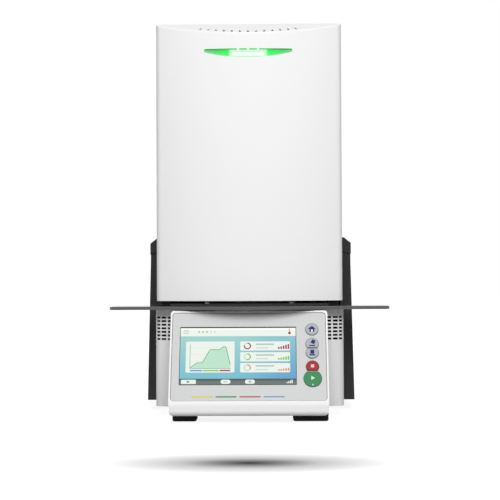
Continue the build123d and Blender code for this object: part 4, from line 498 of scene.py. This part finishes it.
PRINT_COLOURS = {
    "icon_blue": (0.02, 0.025, 0.14),
    "icon_white": (0.86, 0.87, 0.86),
    "icon_pink": (0.80, 0.55, 0.54),
    "icon_mint": (0.56, 0.80, 0.64),
    "mark_yellow": (0.72, 0.60, 0.08),
    "mark_green": (0.045, 0.27, 0.12),
    "mark_red": (0.42, 0.10, 0.09),
    "mark_blue": (0.15, 0.34, 0.55),
}
SCREEN_COLOURS = {
    "header": (0.85, 0.90, 0.83),
    "header_high": (0.97, 1.0, 0.96),
    "card": (0.83, 0.89, 0.82),
    "line": (0.42, 0.49, 0.46),
    "faint": (0.62, 0.70, 0.64),
    "grey": (0.20, 0.25, 0.24),
    "red": (0.45, 0.03, 0.06),
    "magenta": (0.42, 0.03, 0.13),
    "lime": (0.20, 0.60, 0.09),
    "leaf": (0.05, 0.30, 0.10),
    "orange": (0.78, 0.30, 0.13),
    "mint": (0.50, 0.78, 0.60),
    "azure": (0.10, 0.32, 0.62),
    "footer": (0.085, 0.105, 0.10),
    "footer_low": (0.15, 0.178, 0.17),
}
INKS = {name: ink(name, colour) for name, colour in PRINT_COLOURS.items()}
INKS |= {name: screen_ink("screen_" + name, colour) for name, colour in SCREEN_COLOURS.items()}
INKS["wash"] = screen_wash()
INKS["led"] = ink("led", (0.75, 0.95, 0.78), glow=0.95)


# ---------------------------------------------------------------- printed shapes

def new_piece(name, points, faces, materials, finish=None):
    """A mesh piece in the scene, its faces turned outward. finish works on the mesh before it is kept."""
    mesh = bpy.data.meshes.new(name)
    mesh.from_pydata(points, [], faces)
    for material in materials:
        mesh.materials.append(material)
    work = bmesh.new()
    work.from_mesh(mesh)
    bmesh.ops.recalc_face_normals(work, faces=work.faces)
    if finish:
        finish(work)
    work.to_mesh(mesh)
    work.free()
    piece = bpy.data.objects.new(name, mesh)
    scene.collection.objects.link(piece)
    return piece


def arc(u, v, radius, start, end, steps):
    """Points on a circle from one angle to the other, in degrees."""
    angles = [math.radians(start + (end - start) * i / steps) for i in range(steps + 1)]
    return [(u + radius * math.cos(a), v + radius * math.sin(a)) for a in angles]


def turned(points, degrees, centre):
    """Points turned about a centre."""
    a = math.radians(degrees)
    return [(centre[0] + (u - centre[0]) * math.cos(a) - (v - centre[1]) * math.sin(a),
             centre[1] + (u - centre[0]) * math.sin(a) + (v - centre[1]) * math.cos(a)) for u, v in points]


# In mm: between two layers of ink, and under the lowest one.
LAYER_STEP = 0.05
INK_LIFT = 0.04
# How finely curves are drawn: straight steps in a rounded corner and in a disc, degrees in a step of a ring.
CORNER_STEPS = 6
DISC_STEPS = 48
RING_STEP = 7.5


class Print:
    """Flat inked shapes on the control panel, in the panel's u and v in mm, from an origin on the panel."""

    def __init__(self, name, node, slot_name, height, origin=(0.0, 0.0)):
        self.name, self.node, self.slot_name = name, node, slot_name
        self.height, self.origin = height, origin
        self.points, self.faces, self.inks, self.used = [], [], [], []

    def shape(self, outline, ink_name, layer=0):
        """One face. A higher layer lies further out."""
        start = len(self.points)
        w = self.height + LAYER_STEP * layer
        self.points += [panel_point(self.origin[0] + u, self.origin[1] + v, w) for u, v in outline]
        self.faces.append(tuple(range(start, len(self.points))))
        if ink_name not in self.used:
            self.used.append(ink_name)
        self.inks.append(self.used.index(ink_name))

    def box(self, u0, u1, v0, v1, ink_name, layer=0, radius=0.0):
        """A rectangle, with rounded corners where a radius is given."""
        if not radius:
            self.shape([(u1, v1), (u0, v1), (u0, v0), (u1, v0)], ink_name, layer)
            return
        outline = []
        for u, v, start in ((u1, v1, 0), (u0, v1, 90), (u0, v0, 180), (u1, v0, 270)):
            cu = u - math.copysign(radius, u - (u0 + u1) / 2)
            cv = v - math.copysign(radius, v - (v0 + v1) / 2)
            outline += arc(cu, cv, radius, start, start + 90, CORNER_STEPS)
        self.shape(outline, ink_name, layer)

    def disc(self, u, v, radius, ink_name, layer=0):
        self.shape(arc(u, v, radius, 0, 360, DISC_STEPS)[:-1], ink_name, layer)

    def ring(self, u, v, inner, outer, ink_name, layer=0, start=0.0, end=360.0):
        """A ring, or the part of it from one angle to the other."""
        steps = int((end - start) / RING_STEP)
        inside, outside = (arc(u, v, r, start, end, steps) for r in (inner, outer))
        for i in range(steps):
            self.shape([inside[i], outside[i], outside[i + 1], inside[i + 1]], ink_name, layer)

    def stroke(self, path, width, ink_name, layer=0):
        """A line of that width along the path."""
        for (ua, va), (ub, vb) in zip(path, path[1:]):
            length = math.hypot(ub - ua, vb - va)
            du, dv = (vb - va) / length * width / 2, -(ub - ua) / length * width / 2
            corners = [(ua + du, va + dv), (ub + du, vb + dv), (ub - du, vb - dv), (ua - du, va - dv)]
            self.shape(corners, ink_name, layer)

    def finish(self, work):
        """Gives each face its ink and turns it to the front."""
        for face, index in zip(work.faces, self.inks):
            face.material_index = index
            if face.normal.dot(PANEL_OUT) < 0:
                face.normal_flip()
        bmesh.ops.triangulate(work, faces=[f for f in work.faces if len(f.verts) > 4])

    def build(self):
        """Puts the shapes in the scene as one piece that moves with its node's body."""
        inks = [INKS[ink_name].material for ink_name in self.used]
        piece = new_piece(self.name, self.points, self.faces, inks, self.finish)
        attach(piece, body_of(NODES[self.node])[0])


# ---------------------------------------------------------------- the display's picture

# A heating curve beside three gauges, with no lettering. u and v run from the middle of the glass.
SCREEN_MIDDLE = (-14.5, 64.1)
SCREEN_HALF_U, SCREEN_HALF_V = 76.7, 41.2
GLASS_FRONT = -0.4
# The header stops 0.7 mm short of the picture's top, so the bare dark glass shows there as a line of painted
# shade from the recess's edge above.
HEADER_TOP, HEADER_SPLIT, HEADER_FOOT = SCREEN_HALF_V - 0.7, SCREEN_HALF_V - 3.6, 28.6
FOOTER_TOP, FOOTER_SPLIT = -32.8, -35.8
CARD_TOP, CARD_R = 20.8, 1.6

picture = Print("screen_picture", "display_glass", "display_glass", GLASS_FRONT + INK_LIFT, SCREEN_MIDDLE)


def draw_ground():
    """The wash between a pale header and a dark footer."""
    for tint, foot, top in (
        ("wash", FOOTER_TOP, HEADER_FOOT),
        ("header", HEADER_FOOT, HEADER_SPLIT),
        ("header_high", HEADER_SPLIT, HEADER_TOP),
        ("footer_low", -SCREEN_HALF_V, FOOTER_SPLIT),
        ("footer", FOOTER_SPLIT, FOOTER_TOP),
    ):
        picture.box(-SCREEN_HALF_U, SCREEN_HALF_U, foot, top, tint)


def draw_header():
    """Three short menu lines, a row of progress dots and a small thermometer."""
    line_foot, line_pitch = 32.2, 2.4
    for row in range(3):
        foot = line_foot + line_pitch * row
        picture.box(-73, -65.5, foot, foot + 0.8, "line", 1)
    dot_left, dot_pitch, dots_lit = -52, 5.2, 3
    for column in range(5):
        picture.disc(dot_left + dot_pitch * column, 34.9, 1.25, "lime" if column < dots_lit else "faint", 1)
    picture.box(67.6, 69.4, 33, 39.4, "line", 1, 0.9)
    picture.disc(68.5, 32.9, 1.9, "red", 2)


def draw_curve_card():
    """The left card: the heating curve over its grid, and three coloured strips under it."""
    left, right, base = -63, -10, -18
    picture.box(-69.0, -4.5, -24.0, CARD_TOP, "card", 2, CARD_R)
    for v in (-7.5, 2.0, 11.5):
        picture.stroke([(left, v), (right, v)], 0.35, "faint", 3)
    curve = [(left, -17), (-54, -10), (-47, -10), (-37, 9), (-24, 9), (-20, 13), (-16, 13), (right, -13)]
    for (ua, va), (ub, vb) in zip(curve, curve[1:]):
        picture.shape([(ua, base), (ub, base), (ub, vb), (ua, va)], "mint", 4)
    picture.stroke(curve, 0.8, "leaf", 5)
    picture.stroke([(-63.4, 16.5), (-63.4, -18.3), (-9, -18.3)], 0.6, "grey", 5)
    for start, end, tint in ((left, -47, "azure"), (-46, -25, "lime"), (-24, right, "red")):
        picture.box(start, end, -22.2, -20.2, tint, 3)


def draw_gauge(row, tint, share):
    """A right-hand card: a dial filled to its share, two quiet bars and five columns."""
    pitch, height, dial_u, dial_inner, dial_outer = 15.7, 13.4, 12.5, 3.2, 4.9
    top = CARD_TOP - pitch * row
    foot = top - height
    middle = (top + foot) / 2
    picture.box(3.0, 69.0, foot, top, "card", 2, CARD_R)
    picture.ring(dial_u, middle, dial_inner, dial_outer, "faint", 3)
    picture.ring(dial_u, middle, dial_inner, dial_outer, tint, 4, 90 - 360 * share, 90)
    picture.box(23.5, 48, middle + 1.6, middle + 3.4, "line", 3, 0.8)
    picture.box(23.5, 40, middle - 3.6, middle - 2.0, "faint", 3, 0.7)
    column_left, column_width, column_pitch, column_foot = 53, 2.2, 3.2, foot + 2.2
    for column, rise in enumerate((1.7, 2.6, 3.9, 5.2, 6.6)):
        u = column_left + column_pitch * column
        picture.box(u, u + column_width, column_foot, column_foot + 1.6 + rise * share * 1.1, tint, 3)


def draw_footer():
    """A wide button with an arrow, two round ones with a minus and a plus, and four signal bars."""
    foot, top = -40.2, -34.2
    picture.box(-74.5, -55, foot, top, "card", 2, 0.8)
    picture.shape([(-67, -38.9), (-67, -35.5), (-62.2, -37.2)], "grey", 3)
    for u in (-16.0, 16.0):
        picture.box(u - 6.5, u + 6.5, foot, top, "card", 2, 2.9)
        picture.box(u - 2.2, u + 2.2, -37.6, -36.8, "grey", 3)
    picture.box(15.6, 16.4, -39.2, -35.2, "grey", 3)
    bar_left, bar_width, bar_pitch = 64, 1.5, 2.2
    for column in range(4):
        u = bar_left + bar_pitch * column
        picture.box(u, u + bar_width, -39.6, -37.9 + 1.1 * column, "card", 2)


draw_ground()
draw_header()
draw_curve_card()
for row, (tint, share) in enumerate((("magenta", 0.78), ("lime", 0.55), ("orange", 0.36))):
    draw_gauge(row, tint, share)
draw_footer()
picture.build()


# ---------------------------------------------------------------- the keys' symbols

START_LED_DROP = 9.6


def key_print(key, slot_name, rise):
    """An empty print on a key, with its origin that far above the key's middle."""
    return Print(key + "_symbol", key, slot_name, KEY_CROWN + INK_LIFT, (KEY_U, KEYS[key][0] + rise))


home = key_print("key_home", "key_grey", 0.0)
home.stroke([(-4.6, 0.2), (0, 4.2), (4.6, 0.2)], 1.25, "icon_blue")
home.shape([(-3.2, -3.9), (3.2, -3.9), (3.2, 1.0), (0, 3.6), (-3.2, 1.0)], "icon_blue", 1)
home.box(-1.1, 1.1, -3.9, -0.6, "icon_white", 2)
home.build()

# A head over its base, lifted and closed.
opened = key_print("key_head_open", "key_grey", 0.6)
opened.box(-3.9, 3.9, -4.2, -2.4, "icon_blue")
opened.shape(turned([(-2.6, -1.4), (2.6, -1.4), (2.6, 4.2), (-2.6, 4.2)], -24, (2.6, -1.4)), "icon_blue", 1)
opened.build()

closed = key_print("key_head_close", "key_grey", -0.4)
closed.box(-3.9, 3.9, -4.2, -2.4, "icon_blue")
closed.box(-2.6, 2.6, -1.9, 4.0, "icon_blue", 1)
closed.build()

stop = key_print("key_stop", "key_red", 0.6)
stop.box(-2.2, 2.2, -2.2, 2.2, "icon_pink", 0, 0.4)
stop.build()

start = key_print("key_start", "key_green", 0.4)
start.shape([(-2.0, -3.0), (3.3, 0), (-2.0, 3.0)], "icon_mint")
start.disc(0, -START_LED_DROP, 0.95, "led", 1)
start.build()


# ---------------------------------------------------------------- gasket, seam strips and marks

# Painted shade: a dark strip in the groove round the faceplate, standing in for the groove's shade, in mm.
GROOVE_HALF, GROOVE_LENGTH, GROOVE_R = 102.0, 126.5, 4.0
GROOVE_SHADE_INNER, GROOVE_SHADE_OUTER = 0.06, 0.54
GROOVE_SHADE_BACK, GROOVE_SHADE_FRONT = -1.8, -0.45
GROOVE_CORNER_STEPS = 9


def rounded_outline(grow, w):
    """The faceplate's outline grown by grow, as points of the panel."""
    half, foot, head, radius = GROOVE_HALF + grow, -grow, GROOVE_LENGTH + grow, GROOVE_R + grow
    outline = []
    for side, v, start in ((1, head, 0), (-1, head, 90), (-1, foot, 180), (1, foot, 270)):
        cu, cv = side * (half - radius), v - math.copysign(radius, v - GROOVE_LENGTH / 2)
        outline += arc(cu, cv, radius, start, start + 90, GROOVE_CORNER_STEPS)
    return [panel_point(u, v, w) for u, v in outline]


def faceplate_groove_shade():
    """A dark strip with a rectangular section, laid in the groove as painted shade."""
    section = ((GROOVE_SHADE_INNER, GROOVE_SHADE_BACK), (GROOVE_SHADE_OUTER, GROOVE_SHADE_BACK),
               (GROOVE_SHADE_OUTER, GROOVE_SHADE_FRONT), (GROOVE_SHADE_INNER, GROOVE_SHADE_FRONT))
    rings = [rounded_outline(grow, w) for grow, w in section]
    count = len(rings[0])
    faces = []
    for k in range(4):
        ring, following = k * count, (k + 1) % 4 * count
        for i in range(count):
            j = (i + 1) % count
            faces.append((ring + i, ring + j, following + j, following + i))
    points = [p for ring in rings for p in ring]
    piece = new_piece("faceplate_groove_shade", points, faces, [MATERIALS["rubber"].material])
    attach(piece, body_of(NODES["control_faceplate"])[0])


faceplate_groove_shade()

# Painted shade: dark strips in the slanted joints between the arms and the caps that tilt with the head, and
# a small dark spot at the inner end of each, put where the joints lie in shade. Sections are x and z on the
# right, in metres.
SEAM_SHADE = surface("seam_shade", (0.0015, 0.0015, 0.0015), 0.95, level=0.0, vary=0.2, patch=0.004)
SHADE_STRIP_SECTION = [(0.1438, 0.22295), (0.1293, 0.22790), (0.1293, 0.22910), (0.1438, 0.22415)]
SHADE_STRIP_Y = (-0.0098, -0.0040)
SHADE_SPOT_SECTION = [(0.1291, 0.2248), (0.1317, 0.2248), (0.1317, 0.2270), (0.1291, 0.2276)]
SHADE_SPOT_Y = (-0.0102, -0.0098)


def arm_bar(name, side, section, reach_y):
    """A straight bar on one arm, with that section and that reach from front to back."""
    points = [(side * x, y, z) for y in reach_y for x, z in section]
    faces = [(0, 1, 2, 3), (7, 6, 5, 4)] + [(i, i + 4, (i + 1) % 4 + 4, (i + 1) % 4) for i in range(4)]
    piece = new_piece(name, points, faces, [SEAM_SHADE.material])
    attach(piece, body_of(NODES["column_housing"])[0])


for side, word in ((1, "right"), (-1, "left")):
    arm_bar("seam_shade_strip_" + word, side, SHADE_STRIP_SECTION, SHADE_STRIP_Y)
    arm_bar("seam_shade_spot_" + word, side, SHADE_SPOT_SECTION, SHADE_SPOT_Y)

# Four coloured marks under the display.
MARK_FIRST_U, MARK_PITCH, MARK_HALF = -61.0, 31.4, 13.7
MARK_FOOT, MARK_TOP, MARK_R = 4.5, 6.4, 0.5
MARK_LIFT = 0.03
marks = Print("panel_marks", "control_faceplate", "silver_film", MARK_LIFT)
for index, tint in enumerate(("mark_yellow", "mark_green", "mark_red", "mark_blue")):
    u = MARK_FIRST_U + MARK_PITCH * index
    marks.box(u - MARK_HALF, u + MARK_HALF, MARK_FOOT, MARK_TOP, tint, 0, MARK_R)
marks.build()


# ---------------------------------------------------------------- floor and background

FLOOR_HALF = 14.0
FLOOR_DROP = 0.0004
# The floor's glow for the camera and for reflections, at a near and a far distance from the middle in metres.
GLOW_REACH = (0.6, 5.0)
CAMERA_GLOW = (0.86, 0.95)
MIRROR_GLOW = (0.70, 0.93)
# A painted shadow, a soft dark oval on the floor ahead of the object. Its shade and its darker core fade out
# over these shares of its reach.
SHADOW_OVAL_X, SHADOW_OVAL_Y = 0.008, -0.615
SHADOW_HALF_X, SHADOW_HALF_Y = 0.205, 0.112
SHADOW_DARK, SHADOW_FADE = 0.62, (0.1, 1.0)
SHADOW_CORE_DARK, SHADOW_CORE_FADE = 0.36, (0.0, 0.35)


def floor_material():
    """Pale floor that shows as white to the camera and in reflections, and keeps the object's shadow, with a
    painted shadow oval ahead of the object.
    """
    s = Shader("floor")
    ray = s.add("ShaderNodeLightPath").outputs
    x, y = s.axis("X"), s.axis("Y")
    away = s.reach(x, y)
    by_camera = s.math("MULTIPLY", ray["Is Camera Ray"], s.span(away, *GLOW_REACH, *CAMERA_GLOW))
    by_mirror = s.math("MULTIPLY", s.math("SUBTRACT", 1.0, ray["Is Camera Ray"]),
                       s.span(away, *GLOW_REACH, *MIRROR_GLOW))
    glow = s.math("MULTIPLY", s.seen(ray), s.math("ADD", by_camera, by_mirror))
    # The painted shadow: the floor's colour and glow are darker in an oval ahead of the object.
    across = s.math("DIVIDE", s.math("SUBTRACT", x, SHADOW_OVAL_X), SHADOW_HALF_X)
    along = s.math("DIVIDE", s.math("SUBTRACT", y, SHADOW_OVAL_Y), SHADOW_HALF_Y)
    reach = s.reach(across, along)
    outer = s.span(reach, *SHADOW_FADE, SHADOW_DARK, 0.0, smooth=True)
    core = s.span(reach, *SHADOW_CORE_FADE, SHADOW_CORE_DARK, 0.0)
    unshadowed = s.math("SUBTRACT", 1.0, s.math("ADD", outer, core))
    s.set(
        Base_Color=s.mix(unshadowed, (0.02, 0.02, 0.02), (0.35, 0.35, 0.35)),
        Roughness=0.9,
        Specular_IOR_Level=0.0,
        Emission_Color=(1.0, 1.0, 1.0, 1.0),
        Emission_Strength=s.math("MULTIPLY", glow, unshadowed),
    )
    return s.material


floor_mesh = bpy.data.meshes.new("floor")
floor_corners = ((-1, -1), (1, -1), (1, 1), (-1, 1))
floor_mesh.from_pydata([(FLOOR_HALF * x, FLOOR_HALF * y, 0) for x, y in floor_corners], [], [(0, 1, 2, 3)])
floor_mesh.materials.append(floor_material())
floor = bpy.data.objects.new("floor", floor_mesh)
floor.location.z = -FLOOR_DROP
scene.collection.objects.link(floor)

# The world lights the object at the first strength and shows as white at the second.
WORLD_STRENGTHS = (0.25, 1.0)
world = bpy.data.worlds.new("world")
scene.world = world
world.use_nodes = True
sky = Nodes(world.node_tree)
background = sky.add("ShaderNodeBackground")
background.inputs["Color"].default_value = (1.0, 1.0, 1.0, 1.0)
strength = sky.span(sky.seen(sky.add("ShaderNodeLightPath").outputs), 0.0, 1.0, *WORLD_STRENGTHS)
sky.link(strength, background.inputs["Strength"])
sky.link(background.outputs[0], sky.add("ShaderNodeOutputWorld").inputs[0])
